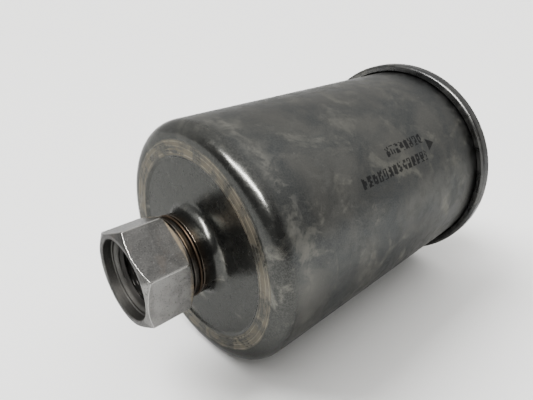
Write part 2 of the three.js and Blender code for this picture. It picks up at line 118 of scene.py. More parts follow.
chuck_outer = can_inner - SEAM_GAP
chuck_inner = chuck_outer - LID_WALL
sink_inner = chuck_inner - SINK_WIDTH
sink_floor = seam_top - SINK_DEPTH
half_width = THREAD_RADIUS + HEX_WALL
hex_radius = half_width / math.cos(math.pi / 6)
mouth_radius = THREAD_RADIUS + MOUTH_STEP
hex_face_radius = mouth_radius + MOUTH_RIM
spigot_radius = THREAD_RADIUS + SPIGOT_WALL
neck_inner = spigot_radius + FITTING_GAP
neck_radius = neck_inner + CAN_WALL
lid_neck_radius = neck_inner + LID_WALL
bore_radius = 6.2 * MM
print("can radius", round(can_radius / MM, 2), "mm, seam radius", round(seam_radius / MM, 2), "mm")

# %% [markdown]
# ## Camera, floor and light
# The camera is set first, so that every later render is seen from the same place. It stands low
# beside the inlet fitting and looks along the can. The filter lies on its seam and its shoulder, so the
# floor slopes a little against the can's axis. A photographer's sweep is white all round, except on
# the camera's side, where the room is dim: that is what gives bare metal its dark middle. The world's
# colour says both, a sun lamp lights the floor and casts the shadow, and one area light, seen only in
# reflections, adds the crisp highlights.

# %% Camera
CAMERA_FROM_CROWN = Vector((-48.98, -78.54, 59.13)) * MM
CAMERA_TURN = math.radians(47.0)
CAMERA_DIP = math.radians(26.75)
LENS = 29.42

camera = bpy.data.objects.new("camera", bpy.data.cameras.new("camera"))
bpy.context.scene.collection.objects.link(camera)
bpy.context.scene.camera = camera
camera.data.lens = LENS
camera.data.sensor_width = 36
camera.data.clip_start = 0.005
looking = Vector((
    math.cos(CAMERA_DIP) * math.cos(CAMERA_TURN),
    math.cos(CAMERA_DIP) * math.sin(CAMERA_TURN),
    -math.sin(CAMERA_DIP),
))
camera.location = Vector((crown, 0, 0)) + CAMERA_FROM_CROWN
camera.rotation_euler = looking.to_track_quat("-Z", "Y").to_euler()
print("camera at", [round(c / MM, 1) for c in camera.location], "mm")

# %% [markdown]
# A node tree is easier to read as formulas than as boxes. `add` makes one node and plugs its inputs,
# `calc` is a Math node, and `ramp` is a smooth step between two values. They serve shader trees and
# geometry trees alike.

# %% Helpers for node trees
def add(tree, kind, inputs=None, **settings):
    """A new node with its settings, and its inputs linked or set."""
    node = tree.nodes.new(kind)
    for key, value in settings.items():
        setattr(node, key, value)
    for key, value in (inputs or {}).items():
        if isinstance(value, bpy.types.NodeSocket):
            tree.links.new(value, node.inputs[key])
        else:
            node.inputs[key].default_value = value
    return node


def calc(tree, operation, *values):
    """The result of one Math node."""
    return add(tree, "ShaderNodeMath", dict(enumerate(values)), operation=operation).outputs[0]


def ramp(tree, value, low, high, to_low=0.0, to_high=1.0):
    """A smooth step from `to_low` at `low` to `to_high` at `high`."""
    limits = {"Value": value, "From Min": low, "From Max": high, "To Min": to_low, "To Max": to_high}
    return add(tree, "ShaderNodeMapRange", limits, interpolation_type="SMOOTHSTEP").outputs[0]


def new_tree(name, kind, inputs, outputs):
    """A node group with named sockets, given as (name, socket type, default)."""
    tree = bpy.data.node_groups.new(name, kind)
    for in_out, sockets in (("INPUT", inputs), ("OUTPUT", outputs)):
        for label, socket_type, default in sockets:
            socket = tree.interface.new_socket(label, in_out=in_out, socket_type=socket_type)
            if default is not None:
                socket.default_value = default
    return tree, tree.nodes.new("NodeGroupInput").outputs, tree.nodes.new("NodeGroupOutput").inputs


FLOAT, VECTOR, COLOUR = "NodeSocketFloat", "NodeSocketVector", "NodeSocketColor"
GEOMETRY, MATERIAL, INTEGER = "NodeSocketGeometry", "NodeSocketMaterial", "NodeSocketInt"

# %% World
WHITE_SIDE = 1.75
DIM_SIDE = 0.22
OVERHEAD = 2.0

world = bpy.data.worlds.new("studio")
bpy.context.scene.world = world
world.use_nodes = True
sky = world.node_tree
sky.nodes.clear()
direction = add(sky, "ShaderNodeTexCoord").outputs["Generated"]
away = Vector((looking.x, looking.y, 0)).normalized()
behind = add(sky, "ShaderNodeVectorMath", {0: direction, 1: away}, operation="DOT_PRODUCT").outputs["Value"]
height = add(sky, "ShaderNodeSeparateXYZ", {0: direction}).outputs["Z"]
back_wall = ramp(sky, behind, -0.35, 0.45, DIM_SIDE, WHITE_SIDE)
ceiling = ramp(sky, height, 0.50, 0.90, 0.0, OVERHEAD)
strength = calc(sky, "MAXIMUM", back_wall, ceiling)
seen = add(sky, "ShaderNodeLightPath").outputs["Is Camera Ray"]
strength = add(sky, "ShaderNodeMix", {"Factor": seen, "A": strength, "B": WHITE_SIDE}).outputs[0]
glow = add(sky, "ShaderNodeBackground", {"Color": (1.0, 0.99, 0.97, 1), "Strength": strength})
add(sky, "ShaderNodeOutputWorld", {"Surface": glow.outputs[0]})


# %% Lamps
def area_light(name, position, target, size, power, colour=(1, 1, 1)):
    """A rectangular lamp that faces `target`."""
    data = bpy.data.lights.new(name, "AREA")
    data.shape = "RECTANGLE"
    data.size, data.size_y = size
    data.energy = power
    data.color = colour
    lamp = bpy.data.objects.new(name, data)
    bpy.context.scene.collection.objects.link(lamp)
    lamp.location = position
    lamp.rotation_euler = (Vector(target) - lamp.location).to_track_quat("-Z", "Y").to_euler()
    return lamp


strip_lamp = area_light("strip", (-0.315, -0.13, 0.45), (crown, 0, 0), (0.54, 0.045), 17.5, (1, 0.98, 0.95))
strip_lamp.visible_diffuse = False

ceiling_light = bpy.data.lights.new("ceiling", "SUN")
ceiling_light.energy = 6.3
ceiling_light.angle = math.radians(36)
ceiling_lamp = bpy.data.objects.new("ceiling", ceiling_light)
ceiling_lamp.visible_glossy = False
bpy.context.scene.collection.objects.link(ceiling_lamp)
ceiling_lamp.rotation_euler = Vector((0.30, -0.50, -0.80)).to_track_quat("-Z", "Y").to_euler()

# %% Floor
FLOOR_SIZE = 60.0
FLOOR_TILT = math.atan2(seam_radius - can_radius, seam_bottom - crown - SHOULDER_RADIUS)
floor_mesh = bpy.data.meshes.new("floor")
half = FLOOR_SIZE / 2
floor_mesh.from_pydata(
    [(-half, -half, 0), (half, -half, 0), (half, half, 0), (-half, half, 0)], [], [(0, 1, 2, 3)]
)
floor_mesh.transform(
    Matrix.Translation((seam_bottom, 0, -seam_radius)) @ Matrix.Rotation(FLOOR_TILT, 4, "Y")
)
floor = bpy.data.objects.new("floor", floor_mesh)
bpy.context.scene.collection.objects.link(floor)
floor_paint = bpy.data.materials.new("white_sweep")
floor_paint.use_nodes = True
floor_shader = floor_paint.node_tree.nodes["Principled BSDF"]
floor_shader.inputs["Base Color"].default_value = (0.87, 0.87, 0.86, 1)
floor_shader.inputs["Roughness"].default_value = 0.6
floor.data.materials.append(floor_paint)
print("floor tilt", round(math.degrees(FLOOR_TILT), 2), "degrees")

# %% [markdown]
# ## Turning
# Nearly every piece of the filter is turned or pressed round, so one tool makes most meshes: an
# outline in (station, radius) swept round X. Each corner of an outline has its own rounding, and
# short supports beside the corners keep the smooth shading of the flats flat. A modifier could screw
# the outline round too, but writing the rings directly lets a zone of them carry a mark, which the
# fittings need.

# %% Outlines
SUPPORT = 0.15 * MM


def outline(corners, steps=5):
    """Points of a closed outline from (station, radius, rounding) corners."""
    arcs = []
    for k, (station, radius, rounding) in enumerate(corners):
        here = Vector((station, radius))
        back = Vector(corners[k - 1][:2]) - here
        ahead = Vector(corners[(k + 1) % len(corners)][:2]) - here
        if rounding == 0:
            arcs.append([here])
            continue
        half_angle = back.angle(ahead) / 2
        reach = min(rounding / math.tan(half_angle), 0.49 * back.length, 0.49 * ahead.length)
        bisector = (back.normalized() + ahead.normalized()).normalized()
        centre = here + bisector * reach / math.cos(half_angle)
        first = here + back.normalized() * reach - centre
        turn = first.angle_signed(here + ahead.normalized() * reach - centre)
        arcs.append([centre + Matrix.Rotation(-turn * s / steps, 2) @ first for s in range(steps + 1)])
    points = []
    for k, arc in enumerate(arcs):
        points += arc
        start, end = arc[-1], arcs[(k + 1) % len(arcs)][0]
        run = end - start
        if run.length > 4 * SUPPORT:
            points += [start + run.normalized() * SUPPORT, end - run.normalized() * SUPPORT]
    return [tuple(p) for p in points]


# %% Lathe
SIDES = 192
SHARP = math.radians(40)


def finished(name, mesh):
    """An object of a closed mesh, with its faces out, smooth but for its sharp edges."""
    shell = bmesh.new()
    shell.from_mesh(mesh)
    if shell.calc_volume(signed=True) < 0:
        bmesh.ops.reverse_faces(shell, faces=shell.faces)
    shell.to_mesh(mesh)
    shell.free()
    mesh.shade_smooth()
    mesh.set_sharp_from_angle(angle=SHARP)
    piece = bpy.data.objects.new(name, mesh)
    bpy.context.scene.collection.objects.link(piece)
    return piece


def turned(name, points, sides=SIDES, marks=None):
    """A closed outline swept round X. Points on the axis become poles. `marks` gives a value to
    each point of the outline, under a name that a geometry tree can read."""
    angles = np.linspace(0, 2 * math.pi, sides, endpoint=False)
    vertices, rings = [], []
    for station, radius in points:
        first = len(vertices)
        if radius < 1e-7:
            vertices.append((station, 0, 0))
            rings.append([first] * sides)
        else:
            vertices += [(station, radius * math.sin(a), radius * math.cos(a)) for a in angles]
            rings.append(list(range(first, first + sides)))
    faces = []
    for k, ring in enumerate(rings):
        following = rings[(k + 1) % len(rings)]
        if ring[0] == ring[1] and following[0] == following[1]:
            continue
        for i in range(sides):
            j = (i + 1) % sides
            corners = [ring[i], ring[j], following[j], following[i]]
            faces.append(list(dict.fromkeys(corners)))
    mesh = bpy.data.meshes.new(name)
    mesh.from_pydata(vertices, [], faces)
    for label, values in (marks or {}).items():
        attribute = mesh.attributes.new(label, "FLOAT", "POINT")
        spread = [value for value, ring in zip(values, rings) for _ in dict.fromkeys(ring)]
        attribute.data.foreach_set("value", spread)
    return finished(name, mesh)


def show(piece, body, node, material=None):
    """The piece rides on its body, in the place of its CAD node."""
    if material:
        piece.data.materials.clear()
        piece.data.materials.append(material)
    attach(piece, body)
    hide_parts(node)
    print(f"{piece.name}: {len(piece.data.polygons)} faces")
    return piece


# %% [markdown]
# ## Effects that several finishes share
# Bare metal is rarely one grey. Clouds of stain, fine scratches, specks and the rings that a lathe
# leaves come back on most of these pieces, so each is a node group. A group puts out only masks and
# heights. The shader itself stays in each material, with its own values.

# %% Reading coordinates in a group
def position_parts(tree, vector):
    """Station along X, radius from the X axis, and angle round it from +Z towards -Y."""
    parts = add(tree, "ShaderNodeSeparateXYZ", {0: vector}).outputs
    squares = [calc(tree, "MULTIPLY", parts[k], parts[k]) for k in (1, 2)]
    radius = calc(tree, "SQRT", calc(tree, "ADD", *squares))
    angle = calc(tree, "ARCTAN2", calc(tree, "MULTIPLY", parts[1], -1.0), parts[2])
    return parts[0], radius, angle


def noise(tree, vector, size, detail=3.0, roughness=0.55, distortion=0.0, seed=0.0, stretch=(1, 1, 1)):
    """Noise with features about `size` metres across, longer along the stretched axes."""
    moved = add(tree, "ShaderNodeVectorMath", {0: vector, 1: (seed, seed / 2, -seed)}, operation="ADD")
    scaled = add(
        tree, "ShaderNodeVectorMath", {0: moved.outputs[0], 1: [1 / s for s in stretch]},
        operation="MULTIPLY",
    )
    settings = {
        "Vector": scaled.outputs[0], "Scale": 1 / size, "Detail": detail, "Roughness": roughness,
        "Distortion": distortion,
    }
    return add(tree, "ShaderNodeTexNoise", settings).outputs[0]


# %% Clouds, patches, scratches, specks and turning rings
def clouds_group():
    tree, given, result = new_tree(
        "clouds", "ShaderNodeTree", [("Vector", VECTOR, None)],
        [("Cloud", FLOAT, None), ("Patch", FLOAT, None), ("Haze", FLOAT, None)],
    )
    cloud = noise(tree, given["Vector"], 14 * MM, 6, 0.62, 0.6)
    patch = noise(tree, given["Vector"], 11 * MM, 5, 0.62, 1.0, seed=0.31)
    broken = noise(tree, given["Vector"], 1.6 * MM, 4, 0.7, 0.4, seed=0.77)
    ragged = calc(tree, "MULTIPLY_ADD", broken, 0.3, patch)
    haze = noise(tree, given["Vector"], 5 * MM, 4, 0.65, 0.8, seed=0.52)
    tree.links.new(ramp(tree, cloud, 0.34, 0.68), result["Cloud"])
    tree.links.new(ramp(tree, ragged, 0.68, 0.84), result["Patch"])
    tree.links.new(ramp(tree, haze, 0.35, 0.7), result["Haze"])
    return tree


def scratches_group():
    tree, given, result = new_tree(
        "scratches", "ShaderNodeTree", [("Vector", VECTOR, None)], [("Line", FLOAT, None)]
    )
    lines = None
    for turn, seed in ((0.5, 0.13), (-0.75, 0.57), (1.35, 0.91)):
        turned_vector = add(
            tree, "ShaderNodeVectorRotate", {"Vector": given["Vector"], "Angle": turn},
            rotation_type="Z_AXIS",
        ).outputs[0]
        fine = noise(tree, turned_vector, 0.28 * MM, 2, 0.5, 0.0, seed, (34, 1, 1))
        line = ramp(tree, fine, 0.69, 0.76)
        lines = line if lines is None else calc(tree, "MAXIMUM", lines, line)
    where = ramp(tree, noise(tree, given["Vector"], 9 * MM, 2, 0.5, 0.0, 0.2), 0.5, 0.68)
    tree.links.new(calc(tree, "MULTIPLY", lines, where), result["Line"])
    return tree


def specks_group():
    tree, given, result = new_tree(
        "specks", "ShaderNodeTree", [("Vector", VECTOR, None), ("Size", FLOAT, 0.3 * MM)],
        [("Speck", FLOAT, None), ("Grain", FLOAT, None)],
    )
    scaled = add(
        tree, "ShaderNodeVectorMath", {0: given["Vector"], "Scale": calc(tree, "DIVIDE", 1.0, given["Size"])},
        operation="SCALE",
    ).outputs[0]
    grain = add(tree, "ShaderNodeTexNoise", {"Vector": scaled, "Scale": 1.0, "Detail": 3.0}).outputs[0]
    tree.links.new(ramp(tree, grain, 0.6, 0.74), result["Speck"])
    tree.links.new(grain, result["Grain"])
    return tree


def turning_group():
    tree, given, result = new_tree(
        "turning_rings", "ShaderNodeTree",
        [("Vector", VECTOR, None), ("Spacing", FLOAT, 0.2 * MM), ("Streak", FLOAT, 14 * MM)],
        [("Ring", FLOAT, None)],
    )
    station, radius, _ = position_parts(tree, given["Vector"])
    parts = add(tree, "ShaderNodeSeparateXYZ", {0: given["Vector"]}).outputs
    streaky = add(tree, "ShaderNodeCombineXYZ", {
        "X": calc(tree, "DIVIDE", calc(tree, "ADD", station, radius), given["Spacing"]),
        "Y": calc(tree, "DIVIDE", parts[1], given["Streak"]),
        "Z": calc(tree, "DIVIDE", parts[2], given["Streak"]),
    }).outputs[0]
    ring = add(tree, "ShaderNodeTexNoise", {"Vector": streaky, "Scale": 1.0, "Detail": 3.0, "Roughness": 0.6})
    tree.links.new(ring.outputs[0], result["Ring"])
    return tree


CLOUDS, SCRATCHES, SPECKS, TURNING = clouds_group(), scratches_group(), specks_group(), turning_group()
print("groups:", [g.name for g in bpy.data.node_groups])


# %% Helpers for materials
def new_material(name, metallic, roughness, **sockets):
    """A material, its tree, its Principled shader and its Object coordinates."""
    material = bpy.data.materials.new(name)
    material.use_nodes = True
    tree = material.node_tree
    shader = tree.nodes["Principled BSDF"]
    shader.inputs["Metallic"].default_value = metallic
    shader.inputs["Roughness"].default_value = roughness
    shader.inputs["Specular Tint"].default_value = (*[1.0 - 0.45 * metallic] * 3, 1)
    for label, value in sockets.items():
        shader.inputs[label].default_value = value
    return material, tree, shader, add(tree, "ShaderNodeTexCoord").outputs["Object"]


def effect(tree, group, **inputs):
    """The outputs of a node group placed in a material."""
    node = tree.nodes.new("ShaderNodeGroup")
    node.node_tree = group
    for label, value in inputs.items():
        if isinstance(value, bpy.types.NodeSocket):
            tree.links.new(value, node.inputs[label])
        else:
            node.inputs[label].default_value = value
    return node.outputs


def tint(tree, share, first, second):
    """A colour between two, given as sockets or as (r, g, b)."""
    node = add(tree, "ShaderNodeMix", data_type="RGBA")
    for index, value in ((0, share), (6, first), (7, second)):
        if isinstance(value, bpy.types.NodeSocket):
            tree.links.new(value, node.inputs[index])
        elif isinstance(value, tuple):
            node.inputs[index].default_value = (*value, 1)
        else:
            node.inputs[index].default_value = value
    return node.outputs[2]


def bump(tree, shader, height, distance, strength=1.0, after=None):
    """Raises the surface by a height from 0 to 1 times `distance`."""
    inputs = {"Height": height, "Distance": distance, "Strength": strength}
    if after:
        inputs["Normal"] = after
    normal = add(tree, "ShaderNodeBump", inputs).outputs[0]
    tree.links.new(normal, shader.inputs["Normal"])
    return normal


# %% [markdown]
# ## The can's steel
# The can is drawn from coated sheet and handled bare. Its wall is satin, with cool and warm clouds and
# pale ragged patches. Drawing burnishes the shoulder and the end panel, which mirror the fitting in
# front of them. The crown, which everything rubs against, is worn to a dull tan band with fine
# rings and rust specks, and the brazing heat has browned the end of the neck. All of it is found
# from the station and the radius, so it stays in place from every side.

# %% Can steel
def zone(tree, value, low, high, soft):
    """1 between two values and 0 outside, with soft edges."""
    rise = ramp(tree, value, low - soft, low + soft)
    fall = ramp(tree, value, high - soft, high + soft, 1.0, 0.0)
    return calc(tree, "MULTIPLY", rise, fall)


def ink_mask(tree, station, angle, noise_value):
    """A flow arrow and two rows of meaningless dots, as an ink jet leaves them."""
    arc = calc(tree, "MULTIPLY", angle, can_radius)
    across = 1.35 * MM
    dot = 0.54 * MM
    total = None
    for centre, start, end, seed in (
        (27.0 * MM, crown + 43 * MM, crown + 60 * MM, 3.0),
        (31.8 * MM, crown + 29.5 * MM, crown + 59 * MM, 7.0),
    ):
        row = calc(
            tree, "MULTIPLY", zone(tree, arc, centre - across, centre + across, 0.12 * MM),
            zone(tree, station, start, end, 0.1 * MM),
        )
        cell = add(tree, "ShaderNodeCombineXYZ", {
            "X": calc(tree, "FLOOR", calc(tree, "DIVIDE", station, dot)),
            "Y": calc(tree, "FLOOR", calc(tree, "DIVIDE", calc(tree, "SUBTRACT", arc, centre), dot)),
            "Z": seed,
        }).outputs[0]
        random_dot = add(tree, "ShaderNodeTexWhiteNoise", {"Vector": cell}).outputs[0]
        within = calc(tree, "FRACT", calc(tree, "DIVIDE", station, 4 * dot))
        dots = calc(tree, "GREATER_THAN", random_dot, 0.3)
        gaps = calc(tree, "LESS_THAN", within, 0.74)
        marks = calc(tree, "MULTIPLY", row, calc(tree, "MULTIPLY", dots, gaps))
        total = marks if total is None else calc(tree, "MAXIMUM", total, marks)
    tip, head, half_width = crown + 64.5 * MM, 3.4 * MM, 1.7 * MM
    from_tip = calc(tree, "DIVIDE", calc(tree, "SUBTRACT", tip, station), head)
    off_line = calc(tree, "ABSOLUTE", calc(tree, "SUBTRACT", arc, 29.4 * MM))
    inside = calc(tree, "LESS_THAN", calc(tree, "DIVIDE", off_line, half_width), from_tip)
    arrow = calc(tree, "MULTIPLY", inside, calc(tree, "LESS_THAN", from_tip, 1.0))
    return calc(tree, "MULTIPLY", calc(tree, "MAXIMUM", total, arrow), noise_value)


def can_steel():
    material, tree, shader, place = new_material("can_steel", 1.0, 0.3)
    station, radius, angle = position_parts(tree, place)
    clouds = effect(tree, CLOUDS, Vector=place)
    lines = effect(tree, SCRATCHES, Vector=place)["Line"]
    specks = effect(tree, SPECKS, Vector=place, Size=0.35 * MM)
    rings = effect(tree, TURNING, Vector=place, Spacing=0.22 * MM)["Ring"]

    colour = tint(tree, clouds["Cloud"], (0.043, 0.046, 0.047), (0.070, 0.070, 0.066))
    ahead = ramp(tree, station, crown + 1.8 * MM, crown + 5.5 * MM, 1.0, 0.0)
    colour = tint(tree, calc(tree, "MULTIPLY", ahead, 0.9), colour, (0.028, 0.029, 0.0275))
    low_side = ramp(tree, calc(tree, "ABSOLUTE", angle), 0.7, 1.3, 0.25, 0.6)
    colour = tint(tree, calc(tree, "MULTIPLY", clouds["Patch"], low_side), colour, (0.150, 0.147, 0.128))
    scuffed = zone(tree, station, crown + 5.5 * MM, crown + 9 * MM, 2 * MM)
    scuffed = calc(tree, "MULTIPLY", scuffed, ramp(tree, clouds["Haze"], 0.2, 0.9, 0.1, 0.7))
    colour = tint(tree, scuffed, colour, (0.120, 0.118, 0.107))
    colour = tint(tree, calc(tree, "MULTIPLY", lines, 0.35), colour, (0.20, 0.195, 0.18))
    colour = tint(tree, calc(tree, "MULTIPLY", specks["Speck"], 0.3), colour, (0.03, 0.03, 0.03))
    grain = ramp(tree, specks["Grain"], 0.35, 0.7, 0.0, 0.35)
    colour = tint(tree, grain, colour, (0.090, 0.090, 0.084))
    wall_rough = ramp(tree, clouds["Haze"], 0.0, 1.0, 0.34, 0.48)
    rough = calc(tree, "MULTIPLY_ADD", clouds["Patch"], 0.08, wall_rough)

    # Painted shade: the wall darkens towards the seam's foot, where the seam's shadow falls.
    painted_seam_shade = ramp(tree, station, seam_bottom - 4.5 * MM, seam_bottom, 0.0, 0.75)
    colour = tint(tree, painted_seam_shade, colour, (0.03, 0.03, 0.03))

    uneven = ramp(tree, noise(tree, place, 3 * MM, 4, 0.6, 0.5, 0.4), 0.3, 0.75, 0.0, 0.11)
    polish = ramp(tree, radius, crown_outer - 0.5 * MM, crown_outer + 0.8 * MM, 0.20, 0.18)
    uneven = calc(tree, "ADD", polish, uneven)
    rough = add(tree, "ShaderNodeMix", {"Factor": ahead, "A": rough, "B": uneven}).outputs[0]

    crown_band = calc(
        tree, "MULTIPLY", zone(tree, radius, crown_inner + 0.2 * MM, crown_outer + 0.6 * MM, 0.3 * MM),
        ramp(tree, station, crown + 1.0 * MM, crown + 1.5 * MM, 1.0, 0.0),
    )
    worn = ramp(tree, calc(tree, "MULTIPLY_ADD", clouds["Haze"], 0.35, rings), 0.48, 0.82, 0.05, 1.0)
    tan = tint(tree, specks["Grain"], (0.060, 0.053, 0.040), (0.125, 0.113, 0.088))
    tan = tint(tree, calc(tree, "MULTIPLY", specks["Speck"], 0.6), tan, (0.06, 0.035, 0.02))
    tan_share = calc(tree, "MULTIPLY", crown_band, worn)
    colour = tint(tree, tan_share, colour, tan)
    for line_radius in (crown_inner + 0.7 * MM, crown_outer - 0.9 * MM, crown_outer + 0.2 * MM):
        rubbed_wear_and_painted_light = zone(tree, radius, line_radius, line_radius + 0.12 * MM, 0.08 * MM)
        rubbed_wear_and_painted_light = calc(tree, "MULTIPLY", calc(tree, "MULTIPLY", rubbed_wear_and_painted_light, crown_band), clouds["Haze"])
        colour = tint(tree, rubbed_wear_and_painted_light, colour, (0.22, 0.205, 0.17))
    rough = add(tree, "ShaderNodeMix", {"Factor": tan_share, "A": rough, "B": 0.42}).outputs[0]

    heat = calc(
        tree, "MULTIPLY", ramp(tree, station, crown - 4.2 * MM, crown - 2.2 * MM, 1.0, 0.0),
        ramp(tree, clouds["Haze"], 0.0, 0.8, 0.55, 1.0),
    )
    colour = tint(tree, heat, colour, (0.05, 0.039, 0.029))
    shade = noise(tree, place, 0.5 * MM, 3, 0.6, 0.0, 0.3)
    ink = ink_mask(tree, station, angle, ramp(tree, shade, 0.3, 0.55, 0.7, 0.86))
    colour = tint(tree, ink, colour, (0.010, 0.010, 0.011))
    rough = add(tree, "ShaderNodeMix", {"Factor": ink, "A": rough, "B": 0.55}).outputs[0]
    film = calc(tree, "MULTIPLY", ahead, 0.12)
    tree.links.new(calc(tree, "SUBTRACT", 1.0, film), shader.inputs["Metallic"])

    tree.links.new(colour, shader.inputs["Base Color"])
    tree.links.new(rough, shader.inputs["Roughness"])
    grain_normal = bump(tree, shader, specks["Grain"], 0.012 * MM, 0.5)
    bump(tree, shader, calc(tree, "MULTIPLY_ADD", tan_share, rings, clouds["Haze"]), 0.02 * MM, 0.5, grain_normal)
    return material


CAN_STEEL = can_steel()

# %% [markdown]
# ## The seam's steel
# The seam is rolled hard: fine striations run round it, a thin dark line is painted round its skirt
# just above its foot, and its rim is bright where it has been handled.

# %% Lid steel
def lid_steel():
    material, tree, shader, place = new_material("lid_steel", 1.0, 0.3)
    station, radius, _ = position_parts(tree, place)
    clouds = effect(tree, CLOUDS, Vector=place)
    rings = effect(tree, TURNING, Vector=place, Spacing=0.16 * MM)["Ring"]
    specks = effect(tree, SPECKS, Vector=place, Size=0.3 * MM)
    colour = tint(tree, clouds["Cloud"], (0.046, 0.047, 0.048), (0.074, 0.074, 0.071))
    colour = tint(tree, calc(tree, "MULTIPLY", clouds["Patch"], 0.4), colour, (0.13, 0.127, 0.113))
    colour = tint(tree, calc(tree, "MULTIPLY", specks["Speck"], 0.25), colour, (0.045, 0.044, 0.043))
    on_skirt = ramp(tree, radius, seam_radius - 1.2 * MM, seam_radius - 0.2 * MM)
    striped = ramp(tree, rings, 0.35, 0.65)
    colour = tint(tree, calc(tree, "MULTIPLY", on_skirt, calc(tree, "MULTIPLY", striped, 0.25)), colour,
                  (0.05, 0.05, 0.05))
    # A thin dark line painted round the skirt, just above the seam's foot.
    groove = zone(tree, station, seam_bottom + 1.15 * MM, seam_bottom + 1.45 * MM, 0.12 * MM)
    colour = tint(tree, calc(tree, "MULTIPLY", on_skirt, calc(tree, "MULTIPLY", groove, 0.6)), colour,
                  (0.02, 0.02, 0.02))
    tree.links.new(colour, shader.inputs["Base Color"])
    tree.links.new(ramp(tree, clouds["Haze"], 0.0, 1.0, 0.26, 0.4), shader.inputs["Roughness"])
    bump(tree, shader, calc(tree, "MULTIPLY_ADD", on_skirt, rings, clouds["Haze"]), 0.02 * MM, 0.5)
    return material


LID_STEEL = lid_steel()

# %% [markdown]
# ## The fittings' steel
# Plated bar steel is brighter than the can. The milled flats are finely speckled, their edges are painted
# bright, partly for wear and partly as a painted highlight, and the flat facing -Y is painted lighter as
# painted light from the floor. The turned faces carry rings. The bore and its thread are painted darker,
# as painted shade inside them. Heat from the brazing has left tan on the collar and the back of the hex;
# the bright tan band on the rear chamfer is partly that tint and partly a painted highlight.

# %% Fitting steel
def fitting_steel():
    material, tree, shader, place = new_material("fitting_steel", 1.0, 0.3)
    station, radius, angle = position_parts(tree, place)
    clouds = effect(tree, CLOUDS, Vector=place)
    specks = effect(tree, SPECKS, Vector=place, Size=0.3 * MM)
    rings = effect(tree, TURNING, Vector=place, Spacing=0.1 * MM)["Ring"]
    edge = add(tree, "ShaderNodeAttribute", attribute_name="edge").outputs["Fac"]
    tapped = add(tree, "ShaderNodeAttribute", attribute_name="tapped").outputs["Fac"]
    milled = add(tree, "ShaderNodeAttribute", attribute_name="milled").outputs["Fac"]

    colour = tint(tree, clouds["Haze"], (0.052, 0.052, 0.051), (0.084, 0.083, 0.081))
    # Painted light: the flat facing -Y is painted lighter, for the light it catches from the floor.
    rubbed_wear_and_painted_light = zone(tree, angle, math.radians(66), math.radians(128), math.radians(3))
    rubbed_wear_and_painted_light = calc(tree, "MULTIPLY", rubbed_wear_and_painted_light, ramp(tree, clouds["Haze"], 0.0, 0.8, 0.6, 1.0))
    colour = tint(tree, calc(tree, "MULTIPLY", rubbed_wear_and_painted_light, milled), colour, (0.185, 0.183, 0.177))
    colour = tint(tree, calc(tree, "MULTIPLY", specks["Speck"], 0.95), colour, (0.020, 0.019, 0.018))
    light = ramp(tree, specks["Grain"], 0.5, 0.3, 0.0, 0.5)
    colour = tint(tree, light, colour, (0.16, 0.157, 0.15))
    colour = tint(tree, calc(tree, "MULTIPLY", clouds["Patch"], 0.35), colour, (0.095, 0.080, 0.068))
    # Painted highlight and wear: the milled edges are painted bright.
    colour = tint(tree, calc(tree, "MULTIPLY", edge, 0.75), colour, (0.34, 0.335, 0.32))
    middle = calc(tree, "ABSOLUTE", station)
    hex_back = inlet_face + HEX_LENGTH
    behind = calc(tree, "SUBTRACT", -hex_back, middle)
    warm = zone(tree, behind, -0.6 * MM, 3.5 * MM, 0.5 * MM)
    warm = calc(tree, "MULTIPLY", warm, ramp(tree, clouds["Haze"], 0.0, 0.7, 0.4, 1.0))
    colour = tint(tree, warm, colour, (0.036, 0.027, 0.019))
    # A bright tan band on the rear chamfer: partly heat tint, partly a painted highlight.
    rear_chamfer_heat_and_highlight = calc(tree, "MULTIPLY", zone(tree, behind, -1.0 * MM, -0.15 * MM, 0.15 * MM), milled)
    rear_chamfer_heat_and_highlight = calc(tree, "MULTIPLY", rear_chamfer_heat_and_highlight, ramp(tree, clouds["Haze"], 0.2, 0.8, 0.4, 0.9))
    colour = tint(tree, rear_chamfer_heat_and_highlight, colour, (0.23, 0.19, 0.14))
    bore = ramp(tree, radius, mouth_radius, mouth_radius + 0.1 * MM, 1.0, 0.0)
    # Painted shade: the bore inside the mouth is painted darker, ringed by the turning.
    counterbore = calc(tree, "MULTIPLY", bore, ramp(tree, rings, 0.3, 0.7, 0.5, 1.0))
    colour = tint(tree, counterbore, colour, (0.050, 0.049, 0.046))
    # Painted shade: the tapped thread is painted near black.
    colour = tint(tree, calc(tree, "MULTIPLY", tapped, 0.85), colour, (0.014, 0.0135, 0.013))
    rough = ramp(tree, specks["Grain"], 0.2, 0.8, 0.24, 0.42)
    rough = add(tree, "ShaderNodeMix", {"Factor": bore, "A": rough, "B": 0.45}).outputs[0]
    rough = add(tree, "ShaderNodeMix", {"Factor": edge, "A": rough, "B": 0.2}).outputs[0]
    tree.links.new(colour, shader.inputs["Base Color"])
    tree.links.new(rough, shader.inputs["Roughness"])
    ringed = calc(tree, "MULTIPLY", rings, calc(tree, "SUBTRACT", 1.0, milled))
    turned_normal = bump(tree, shader, ringed, 0.02 * MM, 0.4)
    bump(tree, shader, specks["Grain"], 0.03 * MM, 0.8, turned_normal)
    return material


FITTING_STEEL = fitting_steel()

# %% [markdown]
# ## The smaller finishes
# The hidden pieces are finished too, for anyone who opens the can. Each has its own grain: tinned
# sheet for the stampings, oiled wire, discoloured braze, dried paste, creped filter paper, hard glue and
# moulded rubber.

